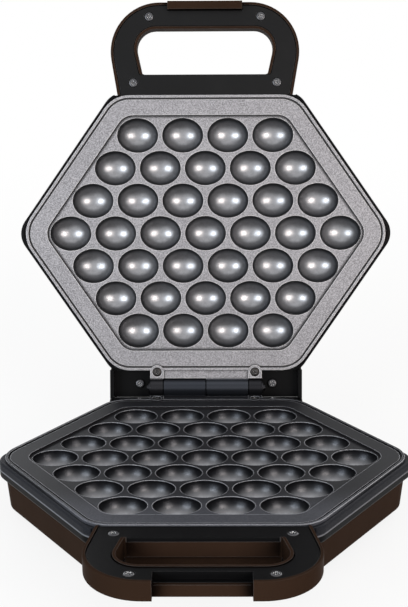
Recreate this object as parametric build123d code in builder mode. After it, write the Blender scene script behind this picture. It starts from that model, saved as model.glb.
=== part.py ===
from build123d import *
from math import atan2, cos, hypot, pi, radians, sin, tan
import os

os.makedirs("parts", exist_ok=True)

# Bubble waffle maker, in millimetres, standing open on its rubber feet.
# X runs along the hinge, the handles point to -Y and +Z is up.
# Each half is drawn in a frame of its own: u along the hinge, v from the hinge
# axis to the handle, w out of the cooking face, with w = 0 where the halves meet.

# Bubble lattice
pitch_x = 28.6
pitch_y = 20.7
bubble_length = 26.1
bubble_width = 21.9
bubble_rows = (4, 5, 6, 7, 6, 5, 4)
field_gap = 1.8

# Cooking plate
hinge_to_centre = 98.7
band_width = 9.8
groove_width = 1.1
bead_width = 1.7
band_drop = 0.6
bead_rise = 0.45
groove_depth = 0.8
field_depth = 1.2
flange_thickness = 3.2
block_depth = 15.5
block_margin = 1.5
field_corner = 11.0
plate_corner = 19.0

# Hinge
opening_angle = 105.0
axis_rise = 3.0
knuckle_diameter = 11.5
knuckle_gap = 0.3
short_knuckle = 8.3
long_knuckle = 27.2
pin_diameter = 4.0
pin_overhang = 2.2
pin_seat_clearance = 0.02
pin_running_clearance = 0.05
clip_diameter = 8.0
clip_thickness = 0.8
clip_gap = 0.2
clip_seat_depth = 0.5
clip_mouth = 2.4
tab_clearance = 0.4

# Tongue that the handle cover holds down
tongue_half = 20.0
tongue_root = 6.0
tongue_reach = 5.8
tongue_thickness = 2.0
tongue_gap = 0.2

# Plate screws beside the knuckles
plate_screw_u = 31.2
plate_screw_v = 10.2
lug_radius = 4.4
plate_head_diameter = 5.8
plate_head_height = 1.6
plate_shank_diameter = 3.4
plate_shank_length = 11.0
screw_sink = 0.35

# Housing
half_depth = 32.0
wall = 2.4
wall_taper = 1.9
wall_inset = 0.4
wall_corner = 17.0
base_edge_radius = 3.0
lid_edge_radius = 5.0
boss_diameter = 7.0
boss_gap = 0.3

# Trim ring
ring_top_drop = 2.0
ring_bottom_drop = 12.2
ring_overhang = 2.0
ring_wall = 4.7
ring_ledge_width = 6.0
ring_ledge_thickness = 2.0
ring_corner = 14.0
ring_top_radius = 1.6
ring_bottom_radius = 1.9

# Handle
handle_reach = 244.3
handle_root_half = 55.5
handle_flare = 9.6
handle_corner = 31.0
handle_rim_drop = 0.4
handle_thickness = 11.3
handle_wall = 2.2
handle_floor = 2.2
handle_ledge = 1.3
handle_rim_radius = 0.6
handle_edge_radius = 1.6
root_half = 40.0
root_drop = 26.0
root_setback = 2.5
grip_far = 227.6
grip_near = 199.1
grip_near_half = 39.7
grip_flare = 12.4
grip_corner = 12.0
grip_near_corner = 1.6

# Handle cover
cover_drop = 0.6
cover_thickness = 2.2
cover_rim = 1.7
cover_gap = 0.25
cover_edge_radius = 0.4
cover_screws = ((45.5, 194.0), (35.3, 235.5))
cover_head_diameter = 6.0
cover_head_height = 1.6
cover_head_sink = 1.4
cover_shank_diameter = 3.0
cover_shank_length = 7.0

# Notch in the lower handle and the tab of the upper one that fills it
notch_half = 24.1
notch_setback = 5.5
notch_drop = 4.9
notch_tray_near = 233.2
tray_wall = 1.2
tab_side_gap = 0.6
tab_face_gap = 0.5
tab_tip_gap = 0.4

# Rear block of the base and skirt of the lid
rear_half = 61.5
skirt_reach = 7.0
block_reach = 8.0
stop_gap = 0.3
hinge_panel_drop = 8.0
hinge_cover_thickness = 2.2
hinge_cover_screw_u = 42.6
lid_cover_screw_v = 1.8
base_cover_screw_v = 5.4
hinge_shank_length = 8.0
wire_slot_half = 9.0
wire_slot_drop = 18.0
wire_slot_height = 7.0

# Heating
rod_diameter = 6.4
rod_clearance = 0.1
rod_bend = 7.0
rod_leg_half = 15.0
rod_leg_drop = 9.0
rod_pin_diameter = 3.0
rod_pin_length = 4.0
rod_hole_gap = 0.6
reflector_drop = 19.0
reflector_thickness = 0.8
reflector_inset = 1.0
reflector_rim = 2.6
reflector_boss_diameter = 8.0
reflector_head_diameter = 5.5
reflector_head_height = 1.6
reflector_shank_diameter = 3.0
reflector_shank_length = 6.0
control_pad_diameter = 18.0
control_pad_drop = 17.0
control_ear_u = 12.5
control_ear_width = 7.0
control_ear_thickness = 1.0
control_window_gap = 0.8
control_screw_length = 4.5
thermostat_diameter = 16.0
thermostat_height = 8.0
thermostat_pin_v = 4.5
thermostat_pin_length = 2.2
thermostat_pin_width = 6.3
thermostat_pin_thickness = 0.8
fuse_diameter = 4.0
fuse_length = 11.0
fuse_lead_diameter = 1.0
fuse_lead_length = 3.0

# Terminal block and cord gland
terminal_length = 34.0
terminal_width = 12.0
terminal_height = 10.0
terminal_pole_pitch = 10.0
terminal_pole_bore = 3.4
terminal_poles = 3
terminal_bore_height = 4.5
terminal_v = 1.5
terminal_bite = 1.6
gland_u = -44.0
gland_drop = 19.5
gland_bore = 7.4
gland_body_diameter = 11.0
gland_flange_diameter = 14.5
gland_flange_thickness = 2.0
gland_tail = 2.0
gland_edge_radius = 0.6

# Feet
foot_height = 3.0
foot_seat = 1.2
foot_diameter = 14.0
foot_tip_diameter = 12.0
foot_edge_radius = 0.6
foot_screw_sink = 2.2
foot_screw_head = 6.0
foot_screw_head_height = 1.6
foot_screw_shank = 3.0
foot_screw_length = 6.0
foot_boss_height = 5.0
foot_rear = (48.0, 6.0)
foot_front = (50.0, 163.0)

# Indicator lights
lens_u = 12.0
lens_v = 173.5
lens_diameter = 6.4
lens_flange_diameter = 8.2
lens_flange_thickness = 0.9
lens_tube_length = 6.0
lens_wall = 0.7
lens_edge_radius = 0.4
lamp_length = 7.0
lamp_gap = 0.3

# Fine clearances and the overrun of every cut
fit_gap = 0.1
cross_width = 0.9
cross_depth = 0.8
cross_share = 0.62
bead_round_share = 0.8
overrun = 1.0

# Sizes that follow
lean = atan2(pitch_x / 2, pitch_y)
row_half = (len(bubble_rows) - 1) / 2
bubble_support = hypot(bubble_length / 2 * cos(lean), bubble_width / 2 * sin(lean))
rim_grow = band_width + groove_width + bead_width
wall_grow = rim_grow - wall_inset
ring_grow = rim_grow + ring_overhang
field_drop = band_drop + field_depth
flange_drop = band_drop + flange_thickness
bead_drop = band_drop - bead_rise
plate_half_v = row_half * pitch_y + bubble_width / 2 + field_gap + rim_grow
plate_near = hinge_to_centre - plate_half_v
plate_far = hinge_to_centre + plate_half_v
floor_inner_drop = half_depth - wall
knuckle_radius = knuckle_diameter / 2
tab_edge = knuckle_radius + tab_clearance
cover_face_drop = handle_rim_drop + cover_drop
cover_seat_drop = cover_face_drop + cover_thickness
handle_bottom_drop = handle_rim_drop + handle_thickness
notch_floor_drop = handle_rim_drop + notch_drop
rod_radius = rod_diameter / 2
knuckle_end = long_knuckle + short_knuckle
panel_drop = hinge_panel_drop + axis_rise
rear_inner = rear_half - wall
rear_wall_v = plate_near - wall
wall_half_u = row_half * pitch_x + (bubble_support + field_gap + wall_grow) / cos(lean)
rear_join_v = hinge_to_centre - (wall_half_u - rear_half) / tan(lean) + 2 * wall
tongue_drop = cover_seat_drop + tongue_gap
tongue_floor_drop = tongue_drop + tongue_thickness
handle_low = handle_bottom_drop - handle_floor
notch_wall_v = handle_reach - notch_setback
rod_v = hinge_to_centre - (row_half - 0.5) * pitch_y
hinge_height = foot_height + half_depth + axis_rise
swing = radians(opening_angle)
lid_back = -plate_far * cos(swing) + (half_depth - axis_rise) * sin(swing)
hinge_y = (handle_reach - lid_back) / 2

# The skirt's end, swung fully open, lies on this line of the rear block
stop_slope = tan(swing - pi / 2)
stop_v = skirt_reach * sin(swing - pi / 2)
stop_drop = skirt_reach * cos(swing - pi / 2) - axis_rise + stop_gap
stop_rear_drop = stop_drop + (stop_v + block_reach) * stop_slope

standing = (Align.CENTER, Align.CENTER, Align.MIN)
hanging = (Align.CENTER, Align.CENTER, Align.MAX)

# Frames of the two halves
lid_out = Vector(0, -sin(swing), -cos(swing))
base_half = Plane(
    origin=(0, hinge_y, hinge_height - axis_rise), x_dir=(-1, 0, 0), z_dir=(0, 0, 1)
)
lid_half = Plane(
    origin=Vector(0, hinge_y, hinge_height) + lid_out * axis_rise,
    x_dir=(1, 0, 0),
    z_dir=lid_out,
)


def side(half, u):
    """Plane across the hinge at u, with its own x along v and its own y along w."""
    return Plane(
        origin=half.from_local_coords(Vector(u, 0, 0)),
        x_dir=half.y_dir,
        z_dir=half.x_dir,
    )


def spot(half, u, v, drop):
    """Location on a half, drop below the meeting plane."""
    return half.offset(-drop).location * Pos(u, v)


def hexagon(grow, corner):
    """Face parallel to the field of bubbles, grown beyond the field's own outline."""
    half_v = row_half * pitch_y + bubble_width / 2 + field_gap + grow
    half_u = row_half * pitch_x + (bubble_support + field_gap + grow) / cos(lean)
    edge_u = half_u - half_v * tan(lean)
    near = hinge_to_centre - half_v
    far = hinge_to_centre + half_v
    with BuildSketch() as outline:
        with BuildLine():
            FilletPolyline(
                (half_u, hinge_to_centre),
                (edge_u, far),
                (-edge_u, far),
                (-half_u, hinge_to_centre),
                (-edge_u, near),
                (edge_u, near),
                radius=corner,
                close=True,
            )
        make_face()
    return outline.sketch


def handle_outline(inset, near):
    """Outer shape of the handle, drawn inset from the real edge and cut off at near."""
    flare = tan(radians(handle_flare))
    far = handle_reach - inset
    root = handle_root_half - inset / cos(radians(handle_flare))
    near_half = root + (near - plate_far) * flare
    far_half = root + (far - plate_far) * flare
    with BuildSketch() as outline:
        with BuildLine():
            flank = FilletPolyline(
                (near_half, near),
                (far_half, far),
                (-far_half, far),
                (-near_half, near),
                radius=handle_corner - inset,
            )
            Line(flank @ 1, flank @ 0)
        make_face()
    return outline.sketch


def grip_outline(outset, near_outset=0):
    """Finger opening of the handle, drawn outset from the real edge."""
    flare = tan(radians(grip_flare))
    near = grip_near - near_outset
    far = grip_far + outset
    side_half = grip_near_half + outset / cos(radians(grip_flare))
    near_half = side_half + (near - grip_near) * flare
    far_half = side_half + (far - grip_near) * flare
    with BuildSketch() as window:
        with BuildLine():
            Polyline(
                (near_half, near), (far_half, far), (-far_half, far), (-near_half, near), close=True
            )
        make_face()
        fillet(window.vertices().group_by(Axis.Y)[-1], grip_corner + outset)
        fillet(window.vertices().group_by(Axis.Y)[0], grip_near_corner)
    return window.sketch


def block(half, u_span, v_span, drop_span, mode=Mode.SUBTRACT):
    """Square block on a half, between two values along u, v and the drop."""
    u_low, u_high = u_span
    v_low, v_high = v_span
    drop_low, drop_high = drop_span
    with Locations(spot(half, (u_low + u_high) / 2, (v_low + v_high) / 2, drop_low)):
        Box(u_high - u_low, v_high - v_low, drop_high - drop_low, align=hanging, mode=mode)


def finish(piece, name):
    """Label a finished piece and write it."""
    piece.part.label = name
    export_step(piece.part, f"parts/{name}.step")


def pairs(half, u, v, drop):
    """Two locations that mirror each other across the middle of a half."""
    return [spot(half, -u, v, drop), spot(half, u, v, drop)]


def plate_screw_spots(half, drop):
    """Locations of the two screws beside the knuckles."""
    return pairs(half, plate_screw_u, plate_screw_v, drop)


def cover_spots(half, drop):
    """Locations of the four screws of a handle cover."""
    return [place for u, v in cover_screws for place in pairs(half, u, v, drop)]


def rear_location(half, u, v, drop):
    """Location on a half that looks away from the handle."""
    return Plane(
        origin=half.from_local_coords(Vector(u, v, -drop)), z_dir=half.y_dir * -1
    ).location


def bubble_spots(half):
    """Locations of all bubbles on the floor of the field."""
    spots = []
    for row, count in enumerate(bubble_rows):
        for column in range(count):
            u = (column - (count - 1) / 2) * pitch_x
            v = hinge_to_centre + (row - row_half) * pitch_y
            spots.append(spot(half, u, v, field_drop))
    return spots


def control_spots(half, drop):
    """Locations of the two screws that hold the control part in the middle of a plate."""
    return pairs(half, control_ear_u, hinge_to_centre, drop)


def reflector_spots(half, drop):
    """Locations of the four reflector screws, each between three bubbles."""
    return [
        spot(half, su * pitch_x, hinge_to_centre + sv * pitch_y * 4 / 3, drop)
        for su in (-1, 1)
        for sv in (-1, 1)
    ]


def turned(spots):
    """The same locations with their out direction reversed."""
    return [place * Rot(180, 0, 0) for place in spots]


def rod_points(leg_half):
    """Points of the heating rod: a hexagon between the outer two rings of bubbles."""
    ring_u = (row_half - 0.5) * pitch_x
    edge_u = ring_u - (hinge_to_centre - rod_v) * tan(lean)
    far = 2 * hinge_to_centre - rod_v
    return [
        (leg_half, rod_v),
        (edge_u, rod_v),
        (ring_u, hinge_to_centre),
        (edge_u, far),
        (-edge_u, far),
        (-ring_u, hinge_to_centre),
        (-edge_u, rod_v),
        (-leg_half, rod_v),
    ]


def screw(spots, head_diameter, head_height, shank_diameter, shank_length, name):
    """Group of cross-recessed pan-head screws, standing on the faces that they clamp."""
    arm = head_diameter * cross_share
    with BuildPart() as screws:
        with Locations(*spots):
            Cylinder(head_diameter / 2, head_height, align=standing)
            Cylinder(shank_diameter / 2, shank_length, align=hanging)
        with Locations(*[place * Pos(0, 0, head_height) for place in spots]):
            Box(arm, cross_width, cross_depth, align=hanging, mode=Mode.SUBTRACT)
            Box(cross_width, arm, cross_depth, align=hanging, mode=Mode.SUBTRACT)
    finish(screws, name)


def tab_outline():
    """Strip behind the rim that carries the knuckles of one plate."""
    with BuildSketch() as strip:
        with Locations((0, (tab_edge + plate_near + bead_width) / 2)):
            Rectangle(2 * knuckle_end, plate_near + bead_width - tab_edge)
        with Locations((-long_knuckle - short_knuckle / 2 - knuckle_gap / 4, tab_edge / 2)):
            Rectangle(short_knuckle - knuckle_gap / 2, tab_edge)
        with Locations((long_knuckle / 2, tab_edge / 2)):
            Rectangle(long_knuckle - knuckle_gap, tab_edge)
    return strip.sketch


def lug_outline():
    """Round-nosed lugs around the two plate screws, cut square beside the knuckles."""
    with BuildSketch() as lugs:
        for u in (-plate_screw_u, plate_screw_u):
            with Locations((u, plate_screw_v)):
                Circle(lug_radius)
            with Locations((u, (tab_edge + plate_screw_v) / 2)):
                Rectangle(2 * lug_radius, plate_screw_v - tab_edge)
        with Locations((0, tab_edge / 2)):
            Rectangle(2 * rear_half, tab_edge, mode=Mode.SUBTRACT)
    return lugs.sketch


# One bubble: half an oval spun about its long axis
with BuildPart() as bubble:
    with BuildSketch(Plane.XY):
        Ellipse(bubble_length / 2, bubble_width / 2)
        split(bisect_by=Plane.XZ, keep=Keep.TOP)
    revolve(axis=Axis.X)


def tongue_slot(half):
    """Cut the way for the tongue of the plate out of the piece in hand."""
    across = (-tongue_half - boss_gap, tongue_half + boss_gap)
    along = (plate_far - ring_ledge_width - boss_gap, plate_far + tongue_reach + boss_gap)
    block(half, across, along, (0, tongue_floor_drop + boss_gap))


def plate(half, axis_drop, bore_clearance, name):
    """Cast plate with its bubbles, beaded rim, screw lugs and half of the hinge knuckles."""
    inside_bead = rim_grow - bead_width
    with BuildPart() as cast:
        with BuildSketch(half.offset(-flange_drop)):
            add(hexagon(rim_grow, plate_corner))
        extrude(amount=flange_thickness)
        with BuildSketch(half.offset(-band_drop)):
            add(hexagon(rim_grow, plate_corner))
            add(hexagon(inside_bead, plate_corner - bead_width), mode=Mode.SUBTRACT)
        extrude(amount=bead_rise)
        bead_top = cast.faces().sort_by(Axis(half.origin, half.z_dir))[-1]
        fillet(bead_top.edges(), bead_rise * bead_round_share)
        with BuildSketch(half.offset(-band_drop)):
            add(hexagon(inside_bead, plate_corner - bead_width))
            add(
                hexagon(inside_bead - groove_width, plate_corner - bead_width - groove_width),
                mode=Mode.SUBTRACT,
            )
        extrude(amount=-groove_depth, mode=Mode.SUBTRACT)
        with BuildSketch(half.offset(-flange_drop)):
            add(hexagon(block_margin, field_corner))
        extrude(amount=flange_drop - block_depth)
        with BuildSketch(half.offset(-field_drop)):
            add(hexagon(0, field_corner))
        extrude(amount=field_depth + overrun, mode=Mode.SUBTRACT)
        with Locations(*bubble_spots(half)):
            add(bubble.part, mode=Mode.SUBTRACT)

        # Hinge strip, lugs and knuckles, bored for the pin
        with BuildSketch(half.offset(-flange_drop)):
            add(tab_outline())
        extrude(amount=flange_thickness)
        with BuildSketch(half.offset(-flange_drop)):
            add(lug_outline())
        extrude(amount=flange_drop - bead_drop)
        with BuildSketch(side(half, -knuckle_end)):
            with Locations((0, -axis_drop)):
                Circle(knuckle_radius)
        extrude(amount=short_knuckle - knuckle_gap / 2)
        with BuildSketch(side(half, knuckle_gap / 2)):
            with Locations((0, -axis_drop)):
                Circle(knuckle_radius)
        extrude(amount=long_knuckle - knuckle_gap)
        with BuildSketch(side(half, -knuckle_end - overrun)):
            with Locations((0, -axis_drop)):
                Circle(pin_diameter / 2 + bore_clearance)
        extrude(amount=2 * (overrun + knuckle_end), mode=Mode.SUBTRACT)
        with Locations(*plate_screw_spots(half, bead_drop)):
            CounterBoreHole(
                plate_shank_diameter / 2 + fit_gap,
                plate_head_diameter / 2 + fit_gap,
                plate_head_height + screw_sink,
                flange_thickness * 2,
            )

        tongue_span = (plate_far - tongue_root, plate_far + tongue_reach)
        tongue_drops = (tongue_drop, tongue_floor_drop)
        block(half, (-tongue_half, tongue_half), tongue_span, tongue_drops, mode=Mode.ADD)

        # Underside: reflector bosses, pad of the control part and groove of the rod
        with Locations(*reflector_spots(half, block_depth)):
            Cylinder(reflector_boss_diameter / 2, reflector_drop - block_depth, align=hanging)
        with Locations(spot(half, 0, hinge_to_centre, block_depth)):
            Cylinder(control_pad_diameter / 2, control_pad_drop - block_depth, align=hanging)
        with Locations(*control_spots(half, block_depth)):
            Cylinder(control_ear_width / 2, control_pad_drop - block_depth, align=hanging)
        ear_half = control_ear_width / 2
        pad_span = (hinge_to_centre - ear_half, hinge_to_centre + ear_half)
        pad_drops = (block_depth, control_pad_drop)
        block(half, (-control_ear_u, control_ear_u), pad_span, pad_drops, mode=Mode.ADD)
        with Locations(*turned(reflector_spots(half, reflector_drop))):
            Hole(reflector_shank_diameter / 2 + fit_gap, reflector_shank_length + fit_gap)
        with Locations(*turned(control_spots(half, control_pad_drop))):
            Hole(reflector_shank_diameter / 2 + fit_gap, control_screw_length + fit_gap)
        with BuildLine(half.offset(-block_depth)) as groove:
            FilletPolyline(*rod_points(rod_leg_half - rod_radius), radius=rod_bend)
        with BuildSketch(Plane(origin=groove.line @ 0, z_dir=groove.line % 0)):
            Circle(rod_diameter / 2 + rod_clearance)
        sweep(path=groove.line, mode=Mode.SUBTRACT)
    finish(cast, name)


plate(base_half, -axis_rise, pin_seat_clearance, "lower_plate")
plate(lid_half, axis_rise, pin_running_clearance, "upper_plate")


def trim_ring(half, name):
    """Rounded ring that carries the rim of a plate and closes the top of the housing."""
    out = Axis(half.origin, half.z_dir)
    cut_half = handle_root_half + handle_wall
    with BuildPart() as ring:
        with BuildSketch(half.offset(-ring_bottom_drop)):
            add(hexagon(ring_grow, ring_corner))
            add(hexagon(rim_grow - ring_ledge_width, field_corner), mode=Mode.SUBTRACT)
        extrude(amount=ring_bottom_drop - ring_top_drop)
        fillet(ring.faces().sort_by(out)[-1].outer_wire().edges(), ring_top_radius)
        fillet(ring.faces().sort_by(out)[0].outer_wire().edges(), ring_bottom_radius)
        with BuildSketch(half.offset(-flange_drop)):
            add(hexagon(rim_grow + fit_gap, plate_corner))
        extrude(amount=flange_drop, mode=Mode.SUBTRACT)
        with BuildSketch(half.offset(-flange_drop - ring_ledge_thickness)):
            add(hexagon(ring_grow - ring_wall, plate_corner - ring_wall))
        extrude(amount=-ring_bottom_drop, mode=Mode.SUBTRACT)
        below = (0, ring_bottom_drop + overrun)
        block(half, (-cut_half, cut_half), (plate_far, handle_reach), below)
        block(half, (-rear_half - fit_gap, rear_half + fit_gap), (0, plate_near), below)
        tongue_slot(half)
        with Locations(*plate_screw_spots(half, 0)):
            Cylinder(
                boss_diameter / 2 + boss_gap, half_depth, align=hanging, mode=Mode.SUBTRACT
            )
    finish(ring, name)


def rear_face(half, points):
    """Profile across the hinge, given as (v, drop) pairs, as a face on one end."""
    with BuildSketch(side(half, -rear_half)) as cheek:
        with BuildLine():
            Polyline(*[(v, -drop) for v, drop in points], close=True)
        make_face()
    return cheek.sketch


def handle_body(half):
    """Solid handle with rounded edges, before it is hollowed."""
    out = Axis(half.origin, half.z_dir)
    along = Axis(half.origin, half.y_dir)
    with BuildPart() as grip:
        with BuildSketch(half.offset(-handle_bottom_drop)):
            add(handle_outline(0, plate_far + fit_gap))
        extrude(amount=handle_thickness)
        fillet(grip.faces().sort_by(out)[0].edges().sort_by(along)[1:], handle_edge_radius)
        fillet(grip.faces().sort_by(out)[-1].edges().sort_by(along)[1:], handle_rim_radius)
    return grip.part


def body_block(half, edge_radius):
    """Solid six-sided body that narrows a little towards its outer face."""
    out = Axis(half.origin, half.z_dir)
    with BuildPart() as body:
        with BuildSketch(half.offset(-ring_bottom_drop)):
            add(hexagon(wall_grow, wall_corner))
        with BuildSketch(half.offset(-half_depth)):
            add(hexagon(wall_grow - wall_taper, wall_corner - wall_taper))
        loft(ruled=True)
        fillet(body.faces().sort_by(out)[0].edges(), edge_radius)
    return body.part


def rear_block(half, cover_top, end_v, edge_radius):
    """Solid part behind the hinge, up to the underside of its cover."""
    out = Axis(half.origin, half.z_dir)
    along = Axis(half.origin, half.y_dir)
    outline = [(v, drop + hinge_cover_thickness) for v, drop in cover_top]
    outline += [
        (plate_near, ring_bottom_drop),
        (rear_join_v, ring_bottom_drop),
        (rear_join_v, half_depth),
        (-end_v, half_depth),
    ]
    with BuildPart() as rear:
        extrude(rear_face(half, outline), amount=2 * rear_half)
        fillet(rear.faces().sort_by(out)[0].edges().sort_by(along)[:-1], edge_radius)
    return rear.part


def shell(half, cover_top, end_v, edge_radius):
    """Moulded shell of one half: body, part behind the hinge, and handle with its root."""
    root_inner = root_half - wall
    root_far = grip_near - 2 * root_setback
    with BuildPart() as body:
        add(body_block(half, edge_radius))
        add(rear_block(half, cover_top, end_v, edge_radius))

        # Cavities of the body and of the part behind the hinge, joined by a way for wires
        with BuildSketch(half.offset(-ring_bottom_drop)):
            add(hexagon(wall_grow - wall, wall_corner - wall))
        with BuildSketch(half.offset(-floor_inner_drop)):
            add(hexagon(wall_grow - wall - wall_taper, wall_corner - wall - wall_taper))
        loft(ruled=True, mode=Mode.SUBTRACT)
        rear_span = (wall - end_v, rear_wall_v)
        block(half, (-rear_inner, rear_inner), rear_span, (0, floor_inner_drop))
        slot_drops = (wire_slot_drop, wire_slot_drop + wire_slot_height)
        block(half, (-wire_slot_half, wire_slot_half), (0, rear_join_v), slot_drops)

        # Root under the handle, hollow towards the body
        add(handle_body(half))
        with BuildSketch(side(half, -root_half)):
            with BuildLine():
                Polyline(
                    (plate_far + fit_gap, -handle_low),
                    (root_far + root_setback, -handle_low),
                    (root_far, -root_drop),
                    (plate_far - wall_inset - wall_taper - wall / 2, -root_drop),
                    (plate_far - wall_inset - wall / 2, -ring_bottom_drop),
                    (plate_far + fit_gap, -ring_bottom_drop),
                    close=True,
                )
            make_face()
        extrude(amount=2 * root_half)
        root_span = (plate_far - 2 * wall - wall_taper, root_far - wall)
        root_drops = (handle_bottom_drop + handle_floor, root_drop - wall)
        block(half, (-root_inner, root_inner), root_span, root_drops)

        # Finger opening, seat of the cover and hollow of the handle with its bosses
        with BuildSketch(half.offset(-handle_bottom_drop - overrun)):
            add(grip_outline(0))
        extrude(amount=handle_bottom_drop + overrun, mode=Mode.SUBTRACT)
        with BuildSketch(half.offset(-cover_seat_drop)):
            add(handle_outline(cover_rim, plate_far))
            add(grip_outline(cover_rim), mode=Mode.SUBTRACT)
        extrude(amount=cover_seat_drop, mode=Mode.SUBTRACT)
        inset = cover_rim + handle_ledge
        with BuildSketch(half.offset(-handle_low)):
            add(handle_outline(inset, plate_far + handle_wall))
            add(grip_outline(inset, inset), mode=Mode.SUBTRACT)
            for u, v in cover_screws:
                with Locations((-u, v), (u, v)):
                    Circle(boss_diameter / 2, mode=Mode.SUBTRACT)
        extrude(amount=handle_low, mode=Mode.SUBTRACT)
        tongue_slot(half)
        with Locations(*cover_spots(half, cover_seat_drop)):
            Hole(cover_shank_diameter / 2 + fit_gap, cover_shank_length)

        # Bosses of the screws that hold the plate
        with Locations(*plate_screw_spots(half, flange_drop)):
            Cylinder(boss_diameter / 2, half_depth - flange_drop - wall / 2, align=hanging)
        with Locations(*plate_screw_spots(half, flange_drop)):
            Hole(plate_shank_diameter / 2 + fit_gap, plate_shank_length)
    return body.part


def hinge_boss(half, v, drop):
    """Two bosses with pilot holes for the screws of a hinge cover."""
    with Locations(*pairs(half, hinge_cover_screw_u, v, drop)):
        Cylinder(boss_diameter / 2, half_depth - drop - wall / 2, align=hanging)
    with Locations(*pairs(half, hinge_cover_screw_u, v, drop)):
        Hole(cover_shank_diameter / 2 + fit_gap, hinge_shank_length)


def hinge_cover(half, cover_top, v, drop, cheek_drop, name):
    """Cover behind the plate, with cheeks at its ends where cheek_drop lies above it."""
    low = [(place_v, place_drop + hinge_cover_thickness) for place_v, place_drop in cover_top]
    with BuildPart() as cover:
        extrude(rear_face(half, cover_top + low[::-1]), amount=2 * rear_half)
        if cheek_drop < drop:
            cheek_span = (cover_top[0][0], cover_top[-1][0])
            cheeks = (cheek_drop, drop + hinge_cover_thickness)
            for low_u, high_u in ((-rear_half, -rear_inner), (rear_inner, rear_half)):
                block(half, (low_u, high_u), cheek_span, cheeks, mode=Mode.ADD)
        with Locations(*plate_screw_spots(half, 0)):
            Cylinder(
                boss_diameter / 2 + boss_gap, half_depth, align=hanging, mode=Mode.SUBTRACT
            )
        with Locations(*pairs(half, hinge_cover_screw_u, v, drop)):
            Hole(cover_shank_diameter / 2 + fit_gap, hinge_cover_thickness * 2)
    finish(cover, name)


def handle_cover(half, notched, name):
    """Flat cover that closes the handle around the finger opening."""
    out = Axis(half.origin, half.z_dir)
    inset = cover_rim + cover_gap
    tab_v = notch_wall_v + tab_face_gap
    with BuildPart() as cover:
        with BuildSketch(half.offset(-cover_seat_drop)):
            add(handle_outline(inset, plate_far + fit_gap))
            add(grip_outline(inset), mode=Mode.SUBTRACT)
        extrude(amount=cover_thickness)
        fillet(cover.faces().sort_by(out)[-1].edges(), cover_edge_radius)
        with Locations(*cover_spots(half, cover_face_drop)):
            CounterBoreHole(
                cover_shank_diameter / 2 + fit_gap,
                cover_head_diameter / 2 + fit_gap,
                cover_head_sink,
                cover_thickness * 2,
            )
        if notched:
            tray_half = notch_half + tray_wall
            tray_span = (notch_tray_near - tray_wall, notch_wall_v - handle_wall - cover_gap)
            tray_drops = (cover_face_drop, notch_floor_drop + tray_wall)
            block(half, (-tray_half, tray_half), tray_span, tray_drops, mode=Mode.ADD)
            notch_span = (notch_tray_near, handle_reach)
            block(half, (-notch_half, notch_half), notch_span, (0, notch_floor_drop))
        else:
            tab_half = notch_half - tab_side_gap + cover_gap
            block(half, (-tab_half, tab_half), (tab_v - cover_gap, handle_reach), (0, half_depth))
    finish(cover, name)


base_cover_top = [
    (-block_reach, stop_rear_drop),
    (stop_v, stop_drop),
    (plate_near - fit_gap, stop_drop),
]
lid_cover_top = [(-skirt_reach, panel_drop), (plate_near - fit_gap, panel_drop)]

trim_ring(base_half, "base_trim_ring")
trim_ring(lid_half, "lid_trim_ring")
handle_cover(base_half, True, "base_handle_cover")
handle_cover(lid_half, False, "lid_handle_cover")
hinge_cover(
    base_half, base_cover_top, base_cover_screw_v, stop_drop, stop_drop, "base_hinge_cover"
)
hinge_cover(lid_half, lid_cover_top, lid_cover_screw_v, panel_drop, axis_rise, "lid_hinge_cover")

foot_points = (foot_rear, foot_front)


def foot_spots(drop):
    """Locations of the four feet under the base, looking down."""
    return turned([place for u, v in foot_points for place in pairs(base_half, u, v, drop)])


def terminal_spots(drop):
    """Locations of the two terminal block screws, between its poles."""
    return pairs(base_half, terminal_pole_pitch / 2, terminal_v, drop)


def gland_spot(v):
    """Location of the cord gland on the back wall of the base."""
    return rear_location(base_half, gland_u, v, gland_drop)


# Base housing with notch, feet, cord entry and terminal screws
with BuildPart() as base_housing:
    add(shell(base_half, base_cover_top, block_reach, base_edge_radius))
    hinge_boss(base_half, base_cover_screw_v, stop_drop + hinge_cover_thickness)
    fill_half = notch_half + handle_wall
    fill_span = (notch_wall_v - handle_wall, handle_reach - handle_edge_radius)
    fill_drops = (cover_seat_drop, handle_bottom_drop)
    block(base_half, (-fill_half, fill_half), fill_span, fill_drops, mode=Mode.ADD)
    cut_span = (notch_wall_v, handle_reach + overrun)
    block(base_half, (-notch_half, notch_half), cut_span, (0, half_depth))
    tray_span = (notch_tray_near, handle_reach + overrun)
    block(base_half, (-notch_half, notch_half), tray_span, (0, notch_floor_drop))
    with Locations(*foot_spots(floor_inner_drop - foot_boss_height)):
        Cylinder(boss_diameter / 2, foot_boss_height + wall / 2, align=standing)
    with Locations(*foot_spots(half_depth)):
        CounterBoreHole(
            foot_screw_shank / 2 + fit_gap,
            foot_diameter / 2 + fit_gap,
            foot_seat,
            wall + foot_boss_height - fit_gap,
        )
    with Locations(*terminal_spots(floor_inner_drop)):
        Hole(reflector_shank_diameter / 2 + fit_gap, terminal_bite + fit_gap)
    with Locations(gland_spot(-block_reach)):
        Hole(gland_body_diameter / 2 + fit_gap, wall + overrun)
finish(base_housing, "base_housing")

# Lid housing with the tab that fills the notch and the holes of the two lights
with BuildPart() as lid_housing:
    add(shell(lid_half, lid_cover_top, skirt_reach, lid_edge_radius))
    hinge_boss(lid_half, lid_cover_screw_v, panel_drop + hinge_cover_thickness)
    tab_half = notch_half - tab_side_gap
    tab_span = (notch_wall_v + tab_face_gap, handle_reach)
    tab_drops = (tab_tip_gap - notch_floor_drop, handle_low)
    block(lid_half, (-tab_half, tab_half), tab_span, tab_drops, mode=Mode.ADD)
    with Locations(*pairs(lid_half, lens_u, lens_v, floor_inner_drop)):
        Hole(lens_diameter / 2 + fit_gap, wall + overrun)
finish(lid_housing, "lid_housing")


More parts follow.
